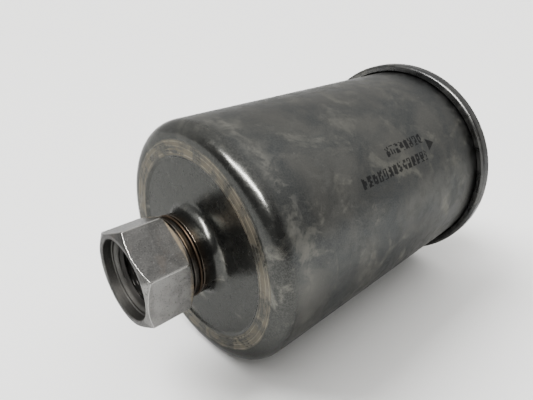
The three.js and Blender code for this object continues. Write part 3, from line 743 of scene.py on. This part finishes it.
# %% Stamped steel, spring wire and braze
def simple_metal(name, dark, light, low_rough, high_rough, speck_colour, speck_share, spacing):
    """A metal with haze, specks and the lines of its drawing or turning."""
    material, tree, shader, place = new_material(name, 1.0, low_rough)
    clouds = effect(tree, CLOUDS, Vector=place)
    specks = effect(tree, SPECKS, Vector=place, Size=0.3 * MM)
    rings = effect(tree, TURNING, Vector=place, Spacing=spacing)["Ring"]
    colour = tint(tree, clouds["Haze"], dark, light)
    colour = tint(tree, calc(tree, "MULTIPLY", specks["Speck"], speck_share), colour, speck_colour)
    tree.links.new(colour, shader.inputs["Base Color"])
    tree.links.new(ramp(tree, clouds["Cloud"], 0.0, 1.0, low_rough, high_rough), shader.inputs["Roughness"])
    lined = bump(tree, shader, rings, 0.02 * MM, 0.4)
    bump(tree, shader, specks["Grain"], 0.03 * MM, 0.5, lined)
    return material


STAMPED_STEEL = simple_metal(
    "stamped_steel", (0.36, 0.36, 0.35), (0.52, 0.52, 0.50), 0.25, 0.4, (0.2, 0.19, 0.17), 0.4, 0.4 * MM
)
SPRING_STEEL = simple_metal(
    "spring_steel", (0.14, 0.14, 0.15), (0.26, 0.26, 0.26), 0.22, 0.34, (0.07, 0.05, 0.04), 0.5, 0.8 * MM
)
BRAZE = simple_metal(
    "braze", (0.024, 0.017, 0.012), (0.046, 0.034, 0.024), 0.35, 0.55, (0.05, 0.03, 0.02), 0.7, 0.3 * MM
)


# %% Paste, paper, glue and rubber
def simple_matter(name, dark, light, grain, depth, low_rough, high_rough):
    """A material that is not metal, mottled and grained."""
    material, tree, shader, place = new_material(name, 0.0, low_rough)
    clouds = effect(tree, CLOUDS, Vector=place)
    specks = effect(tree, SPECKS, Vector=place, Size=grain)
    colour = tint(tree, clouds["Haze"], dark, light)
    colour = tint(tree, calc(tree, "MULTIPLY", specks["Speck"], 0.3), colour, dark)
    tree.links.new(colour, shader.inputs["Base Color"])
    tree.links.new(ramp(tree, specks["Grain"], 0.3, 0.7, low_rough, high_rough), shader.inputs["Roughness"])
    bump(tree, shader, specks["Grain"], depth, 0.7)
    return material


COMPOUND = simple_matter("compound", (0.05, 0.055, 0.05), (0.09, 0.1, 0.09), 0.3 * MM, 0.05 * MM, 0.6, 0.8)
FILTER_PAPER = simple_matter(
    "filter_paper", (0.42, 0.27, 0.12), (0.62, 0.45, 0.22), 0.25 * MM, 0.06 * MM, 0.75, 0.95
)
POTTING = simple_matter("potting", (0.20, 0.06, 0.035), (0.34, 0.11, 0.06), 0.5 * MM, 0.08 * MM, 0.35, 0.6)
RUBBER = simple_matter("rubber", (0.012, 0.012, 0.013), (0.03, 0.03, 0.032), 0.2 * MM, 0.02 * MM, 0.45, 0.65)

# %% [markdown]
# ## The can
# One sheet runs from the end of the neck, over the panel and the crown, down the wall, and folds out
# into the hook that the lid grips. Its outline is the section that a maker's drawing would show.

# %% Can
crook_top = fold_start + (body_hook_inner - can_radius) / 2
hook_end = fold_start - HOOK_OVERLAP / 2

can_outline = outline([
    (inlet_neck_end, neck_radius, 0.2 * MM),
    (inlet_panel, neck_radius, NECK_FILLET),
    (inlet_panel, panel_edge, 0.5 * MM),
    (crown, crown_inner, 0.6 * MM),
    (crown, can_radius, SHOULDER_RADIUS),
    (crook_top, can_radius, 0.5 * MM),
    (crook_top, body_hook_inner, 0.5 * MM),
    (hook_end, body_hook_inner, 0.1 * MM),
    (hook_end, body_hook_outer, 0.1 * MM),
    (can_end, body_hook_outer, fold_radius),
    (can_end, can_inner, fold_radius),
    (crown + CAN_WALL, can_inner, SHOULDER_RADIUS - CAN_WALL),
    (crown + CAN_WALL, crown_inner, 0.3 * MM),
    (inlet_panel + CAN_WALL, panel_edge, 0.3 * MM),
    (inlet_panel + CAN_WALL, neck_inner, NECK_FILLET + CAN_WALL),
    (inlet_neck_end, neck_inner, 0.1 * MM),
], steps=8)
show(turned("drawn_can", can_outline), "housing", "canister", CAN_STEEL)

# %% [markdown]
# ## The seamed lid
# The lid's edge is rolled under the can's hook, which gives the raised double seam at the far end.
# A paste between the two sheets keeps the fuel in. Both are turned from their sections.

# %% Lid and compound
lid_outline = outline([
    (outlet_neck_end, lid_neck_radius, 0.2 * MM),
    (outlet_panel, lid_neck_radius, NECK_FILLET),
    (outlet_panel, sink_inner, 0.5 * MM),
    (sink_floor, sink_inner, 0.5 * MM),
    (sink_floor, chuck_inner, 0.5 * MM),
    (seam_top, chuck_inner, SEAM_ROUNDING),
    (seam_top, seam_radius, SEAM_ROUNDING),
    (seam_bottom, seam_radius, SEAM_ROUNDING),
    (seam_bottom, cover_hook_inner, 0.3 * MM),
    (fold_start, cover_hook_inner, 0.1 * MM),
    (fold_start, cover_hook_outer, 0.1 * MM),
    (seam_bottom + LID_WALL, cover_hook_outer, 0.1 * MM),
    (seam_bottom + LID_WALL, skirt_inner, 0.3 * MM),
    (seam_top - LID_WALL, skirt_inner, 0.3 * MM),
    (seam_top - LID_WALL, chuck_outer, 0.3 * MM),
    (sink_floor - LID_WALL, chuck_outer, 0.6 * MM),
    (sink_floor - LID_WALL, sink_inner - LID_WALL, 0.6 * MM),
    (outlet_panel - LID_WALL, sink_inner - LID_WALL, 0.3 * MM),
    (outlet_panel - LID_WALL, neck_inner, NECK_FILLET + LID_WALL),
    (outlet_neck_end, neck_inner, 0.1 * MM),
], steps=6)
show(turned("seamed_lid", lid_outline), "housing", "seam_lid", LID_STEEL)


def ring(start, end, inner, outer, edge=0.1 * MM):
    """The outline of a plain ring."""
    return outline([(start, inner, edge), (start, outer, edge), (end, outer, edge), (end, inner, edge)])


compound_start = can_end + COMPOUND_GAP
compound = turned("sealing_paste", ring(
    compound_start, compound_start + COMPOUND_THICKNESS,
    can_inner + HOOK_WALL, body_hook_outer - HOOK_WALL,
))
show(compound, "housing", "seam_compound", COMPOUND)

# %% [markdown]
# ## The hex fittings
# Each fitting is turned from bar, then milled to a hex and tapped. The mesh follows the same order. A
# turned blank carries two marks, where it will be milled and where it will be tapped, and one
# geometry tree does both cuts: it pulls the rings in to the six flats, with a slightly broken
# corner, and presses a helical groove into the bore. A boolean would cut the same shapes, but with
# ragged faces along the chamfer. The tree keeps how near each point lies to a milled edge, which the
# material uses for wear and for a painted highlight along the edges.

# %% Turned blank
HEX_CHAMFER_ANGLE = math.radians(30)
COLLAR_LENGTH = 2 * MM
COLLAR_UNDERCUT = 0.8 * MM
COLLAR_UNDERCUT_DEPTH = 0.6 * MM
SPIGOT_LENGTH = 8.4 * MM
MOUTH_DEPTH = 2.4 * MM
LEAD_IN = 0.8 * MM
THREAD_DEPTH = 0.8 * MM
THREAD_PITCH = 1.5 * MM
THREAD_LENGTH = 10.5 * MM
BLANK_SIDES = 288

hex_chamfer = (hex_radius - hex_face_radius) * math.tan(HEX_CHAMFER_ANGLE)
collar_back = HEX_LENGTH + COLLAR_LENGTH
spigot_end = collar_back + SPIGOT_LENGTH
thread_start = MOUTH_DEPTH + LEAD_IN
thread_end = thread_start + THREAD_LENGTH
lead_in_radius = THREAD_RADIUS + LEAD_IN


def line(start, end, count):
    """Points from one corner to the next, without the last."""
    return [tuple(Vector(start).lerp(Vector(end), k / count)) for k in range(count)]


def blank_outline():
    """The blank's outline, with how far each point is milled and how far it is tapped."""
    collar_front = HEX_LENGTH + COLLAR_UNDERCUT
    undercut = neck_radius - COLLAR_UNDERCUT_DEPTH
    milled = (
        line((0.25 * MM, mouth_radius), (0, mouth_radius + 0.25 * MM), 2)
        + line((0, mouth_radius + 0.25 * MM), (0, hex_face_radius), 3)
        + line((0, hex_face_radius), (hex_chamfer, hex_radius), 24)
        + line((hex_chamfer, hex_radius), (HEX_LENGTH - hex_chamfer, hex_radius), 12)
        + line((HEX_LENGTH - hex_chamfer, hex_radius), (HEX_LENGTH, hex_face_radius), 24)
        + line((HEX_LENGTH, hex_face_radius), (HEX_LENGTH, undercut + 0.2 * MM), 2)
    )
    corners = outline([
        (HEX_LENGTH, hex_face_radius, 0), (HEX_LENGTH, undercut, 0.2 * MM),
        (collar_front, undercut, 0.2 * MM), (collar_front, neck_radius, 0.2 * MM),
        (collar_back, neck_radius, 0.2 * MM), (collar_back, spigot_radius, 0.2 * MM),
        (spigot_end, spigot_radius, 0.3 * MM), (spigot_end, bore_radius, 0.3 * MM),
        (thread_end, bore_radius, 0.1 * MM), (thread_end, 0, 0),
    ], steps=3)
    axis_point = [radius for _, radius in corners].index(0)
    turned_part = corners[2:axis_point - 1]
    tapped = (
        line((thread_end - 1 * MM, MINOR_RADIUS), (thread_start + THREAD_DEPTH, MINOR_RADIUS), 90)
        + line((thread_start + THREAD_DEPTH, MINOR_RADIUS), (MOUTH_DEPTH, lead_in_radius), 16)
    )
    counterbore = (
        line((MOUTH_DEPTH, lead_in_radius), (MOUTH_DEPTH, mouth_radius - 0.2 * MM), 2)
        + line((MOUTH_DEPTH, mouth_radius - 0.2 * MM), (MOUTH_DEPTH - 0.2 * MM, mouth_radius), 1)
        + line((MOUTH_DEPTH - 0.2 * MM, mouth_radius), (0.25 * MM, mouth_radius), 4)
    )
    points = milled + turned_part + tapped + counterbore
    mill_mark = [1.0 if k < len(milled) else 0.0 for k in range(len(points))]
    first, last = len(milled) + len(turned_part), len(points) - len(counterbore)
    fade_start = thread_end - 2.2 * MM
    fade_end = thread_start - 0.4 * MM
    tap_mark = []
    for k, (station, _) in enumerate(points):
        inside = first <= k < last
        run_out = min(max((fade_start + 0.8 * MM - station) / (0.8 * MM), 0), 1)
        run_in = min(max((station - fade_end) / (0.4 * MM), 0), 1)
        tap_mark.append(min(run_out, run_in) if inside else 0.0)
    return points, {"milled": mill_mark, "tapped": tap_mark}


# %% Milling and tapping
def mill_and_tap():
    tree, given, result = new_tree(
        "mill_and_tap", "GeometryNodeTree",
        [("Blank", GEOMETRY, None), ("Half Width", FLOAT, 11 * MM), ("Broken Edge", FLOAT, 0.16 * MM),
         ("Thread Depth", FLOAT, THREAD_DEPTH), ("Pitch", FLOAT, THREAD_PITCH),
         ("Edge Width", FLOAT, 0.15 * MM), ("Material", MATERIAL, None)],
        [("Fitting", GEOMETRY, None)],
    )
    place = add(tree, "GeometryNodeInputPosition").outputs[0]
    station, radius, angle = position_parts(tree, place)

    def mark(name):
        return add(tree, "GeometryNodeInputNamedAttribute", {"Name": name}, data_type="FLOAT").outputs[0]

    sixth = math.pi / 3
    from_flat = calc(tree, "WRAP", calc(tree, "SUBTRACT", angle, sixth / 2), sixth / 2, -sixth / 2)
    flat = calc(tree, "DIVIDE", given["Half Width"], calc(tree, "COSINE", from_flat))
    cut = calc(tree, "SMOOTH_MIN", radius, flat, given["Broken Edge"])
    milled = add(tree, "ShaderNodeMix", {"Factor": mark("milled"), "A": radius, "B": cut}).outputs[0]

    helix = calc(tree, "DIVIDE", angle, 2 * math.pi)
    turns = calc(tree, "SUBTRACT", calc(tree, "DIVIDE", station, given["Pitch"]), helix)
    from_root = calc(tree, "ABSOLUTE", calc(tree, "SUBTRACT", calc(tree, "FRACT", turns), 0.5))
    groove = add(tree, "ShaderNodeMapRange", {
        "Value": from_root, "From Min": 0.0625, "From Max": 0.375, "To Min": 1.0, "To Max": 0.0,
    }).outputs[0]
    tapped_radius = calc(tree, "MULTIPLY_ADD", groove, given["Thread Depth"], MINOR_RADIUS)
    deepened = calc(tree, "MAXIMUM", radius, tapped_radius)
    tapped = add(tree, "ShaderNodeMix", {"Factor": mark("tapped"), "A": milled, "B": deepened}).outputs[0]

    grow = calc(tree, "DIVIDE", tapped, radius)
    parts = add(tree, "ShaderNodeSeparateXYZ", {0: place}).outputs
    moved = add(tree, "ShaderNodeCombineXYZ", {
        "X": parts[0], "Y": calc(tree, "MULTIPLY", parts[1], grow), "Z": calc(tree, "MULTIPLY", parts[2], grow),
    }).outputs[0]

    gap = calc(tree, "ABSOLUTE", calc(tree, "SUBTRACT", radius, flat))
    near_chamfer = ramp(tree, gap, 0.0, given["Edge Width"], 1.0, 0.0)
    to_corner = calc(tree, "SUBTRACT", hex_radius, tapped)
    near_corner = ramp(tree, to_corner, 0.0, given["Edge Width"], 1.0, 0.0)
    edge = calc(tree, "MULTIPLY", calc(tree, "MAXIMUM", near_chamfer, near_corner), mark("milled"))
    kept = add(tree, "GeometryNodeStoreNamedAttribute", {
        "Geometry": given["Blank"], "Name": "edge", "Value": edge,
    }, data_type="FLOAT", domain="POINT").outputs[0]
    shaped = add(tree, "GeometryNodeSetPosition", {"Geometry": kept, "Position": moved}).outputs[0]
    real = add(tree, "GeometryNodeRealizeInstances", {"Geometry": shaped}).outputs[0]
    done = add(tree, "GeometryNodeSetMaterial", {"Geometry": real, "Material": given["Material"]})
    tree.links.new(done.outputs[0], result["Fitting"])
    return tree


def grown(name, tree, base=None, **inputs):
    """The plain mesh that a geometry tree makes from a base object and named inputs."""
    if base is None:
        base = bpy.data.objects.new(name, bpy.data.meshes.new(name))
        bpy.context.scene.collection.objects.link(base)
    modifier = base.modifiers.new("tree", "NODES")
    modifier.node_group = tree
    for socket in tree.interface.items_tree:
        label = socket.name.replace(" ", "_").lower()
        if socket.in_out == "INPUT" and label in inputs:
            modifier[socket.identifier] = inputs[label]
    seen = base.evaluated_get(bpy.context.evaluated_depsgraph_get())
    mesh = bpy.data.meshes.new_from_object(seen)
    bpy.data.objects.remove(base)
    mesh.name = name
    return finished(name, mesh)


MILL_AND_TAP = mill_and_tap()
blank_points, blank_marks = blank_outline()


def placed_fitting(name, face, turn, clocking):
    """A fitting with its mouth at `face`, turned end for end if `turn` is set."""
    blank = turned(name + "_blank", blank_points, BLANK_SIDES, blank_marks)
    fitting = grown(name, MILL_AND_TAP, blank, material=FITTING_STEEL)
    facing = Matrix.Rotation(math.pi if turn else 0, 4, "Y")
    leaning = Matrix.Rotation(math.radians(clocking), 4, "X")
    fitting.data.transform(Matrix.Translation((face, 0, 0)) @ leaning @ facing)
    return fitting


show(placed_fitting("inlet_hex", inlet_face, False, 6.3), "housing", "inlet_fitting")
show(placed_fitting("outlet_hex", outlet_face, True, 19), "housing", "outlet_fitting")

# %% [markdown]
# ## Braze, tube, cup and spring
# A ring of braze joins each fitting to its neck. Inside the can a tube carries the element's open
# end, and a wire spring stands in a cup at the closed end. The spring's wire follows a curve, so it
# is grown by a geometry tree: a line bent into a helix, with a flat part of a turn at each end.

# %% Braze rings
BRAZE_LENGTH = 0.6 * MM


def braze_ring(name, neck_end, way):
    """The bulging ring between a neck's end and its fitting's collar."""
    bulge = BRAZE_LENGTH / 2
    middle = neck_end + way * (FITTING_GAP + bulge)
    top = neck_radius - bulge / 2
    arc = [(middle + bulge * math.cos(a), top + bulge * math.sin(a)) for a in np.linspace(0, math.pi, 9)]
    return turned(name, arc + line((middle - bulge, top), (middle - bulge, neck_inner), 2)[1:]
                  + [(middle - bulge, neck_inner), (middle + bulge, neck_inner)])


for end, neck_end, way in (("inlet", inlet_neck_end, -1), ("outlet", outlet_neck_end, 1)):
    show(braze_ring(end + "_braze", neck_end, way), "housing", end + "_braze_ring", BRAZE)

# %% Outlet tube and spring cup
TUBE_RADIUS = 6 * MM
TUBE_WALL = 0.8 * MM
SPRING_WIRE = 1.6 * MM
SPRING_HEIGHT = 9 * MM
SPRING_TURNS = 2.5
SPRING_END_TURN = 0.3
SPRING_GAP = 0.3 * MM
SEAT_WALL = 0.5 * MM
SEAT_RIM_HEIGHT = 1.6 * MM

tube_start, tube_end = (corner.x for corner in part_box("outlet_tube"))
tube_outline = ring(tube_start, tube_end, TUBE_RADIUS - TUBE_WALL, TUBE_RADIUS, 0.2 * MM)
show(turned("transfer_tube", tube_outline, 96), "housing", "outlet_tube", STAMPED_STEEL)

spring_radius = neck_radius + NECK_FILLET + SPRING_WIRE
seat_foot = inlet_panel + CAN_WALL + SPRING_GAP
seat_inner = neck_radius + NECK_FILLET + SPRING_GAP
seat_outer = spring_radius + SPRING_WIRE / 2 + SPRING_GAP + SEAT_WALL
cup_outline = outline([
    (seat_foot, seat_inner, 0.1 * MM), (seat_foot, seat_outer, 0.7 * MM),
    (seat_foot + SEAT_RIM_HEIGHT, seat_outer, 0.1 * MM),
    (seat_foot + SEAT_RIM_HEIGHT, seat_outer - SEAT_WALL, 0.1 * MM),
    (seat_foot + SEAT_WALL, seat_outer - SEAT_WALL, 0.25 * MM),
    (seat_foot + SEAT_WALL, seat_inner, 0.1 * MM),
])
show(turned("spring_seat", cup_outline, 128), "housing", "spring_cup", STAMPED_STEEL)


# %% Spring
def coil_tree():
    tree, given, result = new_tree(
        "coil", "GeometryNodeTree",
        [("Foot", FLOAT, 0), ("Height", FLOAT, SPRING_HEIGHT), ("Coil Radius", FLOAT, spring_radius),
         ("Wire", FLOAT, SPRING_WIRE), ("Turns", FLOAT, SPRING_TURNS),
         ("End Turn", FLOAT, SPRING_END_TURN), ("Steps", INTEGER, 220), ("Material", MATERIAL, None)],
        [("Spring", GEOMETRY, None)],
    )
    path = add(tree, "GeometryNodeCurvePrimitiveLine").outputs[0]
    path = add(tree, "GeometryNodeResampleCurve", {"Curve": path, "Count": given["Steps"]}).outputs[0]
    share = add(tree, "GeometryNodeSplineParameter").outputs["Factor"]
    all_turns = calc(tree, "MULTIPLY_ADD", given["End Turn"], 2.0, given["Turns"])
    turns = calc(tree, "MULTIPLY", share, all_turns)
    angle = calc(tree, "MULTIPLY", turns, 2 * math.pi)
    rise = calc(tree, "DIVIDE", calc(tree, "SUBTRACT", turns, given["End Turn"]), given["Turns"])
    rise = calc(tree, "MINIMUM", calc(tree, "MAXIMUM", rise, 0.0), 1.0)
    climb = calc(tree, "MULTIPLY", rise, calc(tree, "SUBTRACT", given["Height"], given["Wire"]))
    foot = calc(tree, "MULTIPLY_ADD", given["Wire"], 0.5, given["Foot"])
    helix = add(tree, "ShaderNodeCombineXYZ", {
        "X": calc(tree, "ADD", foot, climb),
        "Y": calc(tree, "MULTIPLY", given["Coil Radius"], calc(tree, "COSINE", angle)),
        "Z": calc(tree, "MULTIPLY", given["Coil Radius"], calc(tree, "SINE", angle)),
    }).outputs[0]
    path = add(tree, "GeometryNodeSetPosition", {"Geometry": path, "Position": helix}).outputs[0]
    wire = add(tree, "GeometryNodeCurvePrimitiveCircle", {
        "Resolution": 20, "Radius": calc(tree, "MULTIPLY", given["Wire"], 0.5),
    }).outputs[0]
    swept = add(tree, "GeometryNodeCurveToMesh", {"Curve": path, "Profile Curve": wire, "Fill Caps": True})
    real = add(tree, "GeometryNodeRealizeInstances", {"Geometry": swept.outputs[0]}).outputs[0]
    done = add(tree, "GeometryNodeSetMaterial", {"Geometry": real, "Material": given["Material"]})
    tree.links.new(done.outputs[0], result["Spring"])
    return tree


spring_foot = seat_foot + SEAT_WALL + SPRING_GAP
spring = grown("coil_spring", coil_tree(), foot=spring_foot, material=SPRING_STEEL)
show(spring, "housing", "element_spring")
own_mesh(spring)

# %% [markdown]
# ## The paper element
# Two stamped caps are glued to the ends of a ring of pleated paper, round a perforated tube. Paper, clip
# and bands are all strips standing on edge along X, so one tree bends them all: it rounds the
# corners of a path and sweeps a thin section along it. The tube's holes are punched by a second
# tree, which sets punches out in staggered rows.

# %% Sizes of the element
CAP_WALL = 0.6 * MM
CAP_RIM_HEIGHT = 4 * MM
CAP_BOSS_HEIGHT = 2 * MM
POTTING_THICKNESS = 2 * MM
ELEMENT_GAP = 0.3 * MM
PAPER = 0.5 * MM
FOLD_HALF_WIDTH = 0.8 * MM
PLEATS = 32
CLIP_WALL = 0.5 * MM
CLIP_DEPTH = 3 * MM
BAND_THICKNESS = 0.5 * MM
TUBE_HOLE_RADIUS = 2.2 * MM
CENTRE_TUBE_WALL = 0.6 * MM
GROMMET_WALL = 2.4 * MM
GROMMET_FLANGE = 1.5 * MM
GROMMET_LIP = 1.2 * MM

paper_start, paper_end = (corner.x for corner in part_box("pleated_media"))
cap_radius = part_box("element_inlet_cap")[1].y
cap_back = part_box("element_inlet_cap")[0].x + CAP_BOSS_HEIGHT
outlet_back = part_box("element_outlet_cap")[1].x
potting_radius = cap_radius - CAP_WALL - ELEMENT_GAP
paper_outer = potting_radius - ELEMENT_GAP - CLIP_WALL
centre_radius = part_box("centre_tube")[1].y
paper_inner = 13.3 * MM
band_inner = paper_outer + ELEMENT_GAP
print("paper from", round(paper_start / MM, 2), "to", round(paper_end / MM, 2), "mm")


# %% Strips on edge
def strip_tree():
    tree, given, result = new_tree(
        "strip_on_edge", "GeometryNodeTree",
        [("Path", GEOMETRY, None), ("Bend", FLOAT, 0.5 * MM), ("Thickness", FLOAT, 0.5 * MM),
         ("Width", FLOAT, 5 * MM), ("Material", MATERIAL, None)],
        [("Strip", GEOMETRY, None)],
    )
    path = add(tree, "GeometryNodeMeshToCurve", {"Mesh": given["Path"]}).outputs[0]
    path = add(tree, "GeometryNodeFilletCurve", {
        "Curve": path, "Radius": given["Bend"], "Limit Radius": True, "Count": 4,
    }, mode="POLY").outputs[0]
    section = add(tree, "GeometryNodeCurvePrimitiveQuadrilateral", {
        "Width": given["Width"], "Height": given["Thickness"],
    }).outputs[0]
    swept = add(tree, "GeometryNodeCurveToMesh", {"Curve": path, "Profile Curve": section, "Fill Caps": True})
    real = add(tree, "GeometryNodeRealizeInstances", {"Geometry": swept.outputs[0]}).outputs[0]
    done = add(tree, "GeometryNodeSetMaterial", {"Geometry": real, "Material": given["Material"]})
    tree.links.new(done.outputs[0], result["Strip"])
    return tree


STRIP = strip_tree()


def strip(name, path, start, end, thickness, bend, closed, material):
    """A strip from one station to another, bent along a path of (y, z) points."""
    base_mesh = bpy.data.meshes.new(name + "_path")
    middle = (start + end) / 2
    count = len(path)
    edges = [(k, (k + 1) % count) for k in range(count if closed else count - 1)]
    base_mesh.from_pydata([(middle, y, z) for y, z in path], edges, [])
    base = bpy.data.objects.new(name, base_mesh)
    bpy.context.scene.collection.objects.link(base)
    return grown(name, STRIP, base, bend=bend, thickness=thickness, width=end - start, material=material)


def polar(radius, angle):
    """A point at a radius, and at an angle from the bottom of the can."""
    return (radius * math.sin(angle), -radius * math.cos(angle))


# %% Paper, clip and bands
folds = []
for k in range(PLEATS):
    crest = 2 * math.pi * k / PLEATS
    valley = crest + math.pi / PLEATS
    for radius, middle in ((paper_outer - PAPER / 2, crest), (paper_inner + PAPER / 2, valley)):
        half_turn = (FOLD_HALF_WIDTH - PAPER / 2) / radius
        folds += [polar(radius, middle - half_turn), polar(radius, middle + half_turn)]
media = strip("pleated_paper", folds, paper_start, paper_end, PAPER, 0.5 * MM, True, FILTER_PAPER)
show(media, "element", "pleated_media")

clip_middle = FOLD_HALF_WIDTH + ELEMENT_GAP + CLIP_WALL / 2
clip_foot = band_inner - CLIP_DEPTH
clip_roof = band_inner + CLIP_WALL / 2
clip_path = [
    (-clip_middle, -clip_foot), (-clip_middle, -clip_roof), (clip_middle, -clip_roof), (clip_middle, -clip_foot)
]
clip = strip("seam_strip", clip_path, paper_start, paper_end, CLIP_WALL, 0.4 * MM, False, STAMPED_STEEL)
show(clip, "element", "media_seam_clip")

opening = math.asin((clip_middle + CLIP_WALL / 2 + ELEMENT_GAP) / band_inner)
band_angles = np.linspace(opening, 2 * math.pi - opening, 160)
band_path = [polar(band_inner + BAND_THICKNESS / 2, angle) for angle in band_angles]
for end in ("inlet", "outlet"):
    band_start, band_end = (corner.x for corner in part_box(end + "_pleat_band"))
    band = strip(
        end + "_band", band_path, band_start, band_end, BAND_THICKNESS, 0.01 * MM, False, FILTER_PAPER
    )
    show(band, "element", end + "_pleat_band")


# %% Perforated tube
def punch_tree():
    tree, given, result = new_tree(
        "punched_tube", "GeometryNodeTree",
        [("Tube", GEOMETRY, None), ("Start", FLOAT, 0), ("Length", FLOAT, 0.066), ("Rows", INTEGER, 5),
         ("Holes In A Row", INTEGER, 6), ("Hole Radius", FLOAT, TUBE_HOLE_RADIUS),
         ("Tube Radius", FLOAT, 13 * MM), ("Material", MATERIAL, None)],
        [("Punched", GEOMETRY, None)],
    )
    count = calc(tree, "MULTIPLY", given["Rows"], given["Holes In A Row"])
    points = add(tree, "GeometryNodePoints", {"Count": count}).outputs[0]
    index = add(tree, "GeometryNodeInputIndex").outputs[0]
    row = calc(tree, "FLOOR", calc(tree, "DIVIDE", index, given["Holes In A Row"]))
    stagger = calc(tree, "MULTIPLY", calc(tree, "MODULO", row, 2.0), 0.5)
    step = calc(tree, "ADD", calc(tree, "MODULO", index, given["Holes In A Row"]), stagger)
    angle = calc(tree, "MULTIPLY", calc(tree, "DIVIDE", step, given["Holes In A Row"]), 2 * math.pi)
    share = calc(tree, "DIVIDE", calc(tree, "ADD", row, 0.5), given["Rows"])
    station = calc(tree, "MULTIPLY_ADD", share, given["Length"], given["Start"])
    outwards = add(tree, "ShaderNodeCombineXYZ", {
        "Y": calc(tree, "MULTIPLY", calc(tree, "SINE", angle), -1.0), "Z": calc(tree, "COSINE", angle),
    }).outputs[0]
    place = add(tree, "ShaderNodeVectorMath", {0: outwards, "Scale": given["Tube Radius"]}, operation="SCALE")
    along = add(tree, "ShaderNodeCombineXYZ", {"X": station}).outputs[0]
    centre = add(tree, "ShaderNodeVectorMath", {0: place.outputs[0], 1: along}, operation="ADD").outputs[0]
    points = add(tree, "GeometryNodeSetPosition", {"Geometry": points, "Position": centre}).outputs[0]
    punch = add(tree, "GeometryNodeMeshCylinder", {
        "Vertices": 32, "Radius": given["Hole Radius"], "Depth": given["Tube Radius"],
    }).outputs[0]
    turn = add(tree, "FunctionNodeAlignRotationToVector", {"Vector": outwards}, axis="Z").outputs[0]
    punches = add(tree, "GeometryNodeInstanceOnPoints", {
        "Points": points, "Instance": punch, "Rotation": turn,
    }).outputs[0]
    punches = add(tree, "GeometryNodeRealizeInstances", {"Geometry": punches}).outputs[0]
    cut = add(tree, "GeometryNodeMeshBoolean", {0: given["Tube"]}, operation="DIFFERENCE", solver="EXACT")
    tree.links.new(punches, cut.inputs[1])
    real = add(tree, "GeometryNodeRealizeInstances", {"Geometry": cut.outputs[0]}).outputs[0]
    done = add(tree, "GeometryNodeSetMaterial", {"Geometry": real, "Material": given["Material"]})
    tree.links.new(done.outputs[0], result["Punched"])
    return tree


plain_tube = turned("plain_tube", ring(
    paper_start, paper_end, centre_radius - CENTRE_TUBE_WALL, centre_radius, 0.1 * MM
), 96)
punched = grown(
    "perforated_tube", punch_tree(), plain_tube, start=paper_start, length=paper_end - paper_start,
    tube_radius=centre_radius, material=STAMPED_STEEL,
)
show(punched, "element", "centre_tube")

# %% Caps, glue and grommet
boss_end = cap_back - CAP_BOSS_HEIGHT
boss_radius = spring_radius - SPRING_WIRE / 2 - SPRING_GAP
inlet_cap_outline = outline([
    (boss_end, 0, 0), (boss_end, boss_radius - CAP_WALL, 0.6 * MM), (cap_back, boss_radius, 0.4 * MM),
    (cap_back, cap_radius, 0.8 * MM), (cap_back + CAP_RIM_HEIGHT, cap_radius, 0.1 * MM),
    (cap_back + CAP_RIM_HEIGHT, cap_radius - CAP_WALL, 0.1 * MM),
    (cap_back + CAP_WALL, cap_radius - CAP_WALL, 0.25 * MM),
    (cap_back + CAP_WALL, boss_radius - CAP_WALL, 0.4 * MM),
    (boss_end + CAP_WALL, boss_radius - 2 * CAP_WALL, 0.3 * MM), (boss_end + CAP_WALL, 0, 0),
])
show(turned("closed_cap", inlet_cap_outline), "element", "element_inlet_cap", STAMPED_STEEL)

cap_hole = bore_radius + GROMMET_WALL
outlet_cap_outline = outline([
    (outlet_back, cap_hole, 0.1 * MM), (outlet_back, cap_radius, 0.8 * MM),
    (outlet_back - CAP_RIM_HEIGHT, cap_radius, 0.1 * MM),
    (outlet_back - CAP_RIM_HEIGHT, cap_radius - CAP_WALL, 0.1 * MM),
    (outlet_back - CAP_WALL, cap_radius - CAP_WALL, 0.25 * MM), (outlet_back - CAP_WALL, cap_hole, 0.1 * MM),
])
show(turned("open_cap", outlet_cap_outline), "element", "element_outlet_cap", STAMPED_STEEL)

for end in ("inlet", "outlet"):
    glue_start, glue_end = (corner.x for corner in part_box(end + "_potting"))
    glue = turned(end + "_glue", ring(
        glue_start, glue_end, centre_radius - CENTRE_TUBE_WALL, potting_radius, 0.3 * MM
    ))
    show(glue, "element", end + "_potting", POTTING)

waist = cap_hole - ELEMENT_GAP
lip = cap_hole + GROMMET_LIP
groove_back = outlet_back + ELEMENT_GAP
groove_front = outlet_back - CAP_WALL - ELEMENT_GAP
grommet_outline = outline([
    (groove_front - GROMMET_FLANGE, bore_radius, 0.4 * MM), (groove_front - GROMMET_FLANGE, lip, 0.5 * MM),
    (groove_front, lip, 0.3 * MM), (groove_front, waist, 0.15 * MM), (groove_back, waist, 0.15 * MM),
    (groove_back, lip, 0.3 * MM), (groove_back + GROMMET_FLANGE, lip, 0.5 * MM),
    (groove_back + GROMMET_FLANGE, bore_radius, 0.4 * MM),
])
show(turned("rubber_grommet", grommet_outline, 96), "element", "outlet_grommet", RUBBER)
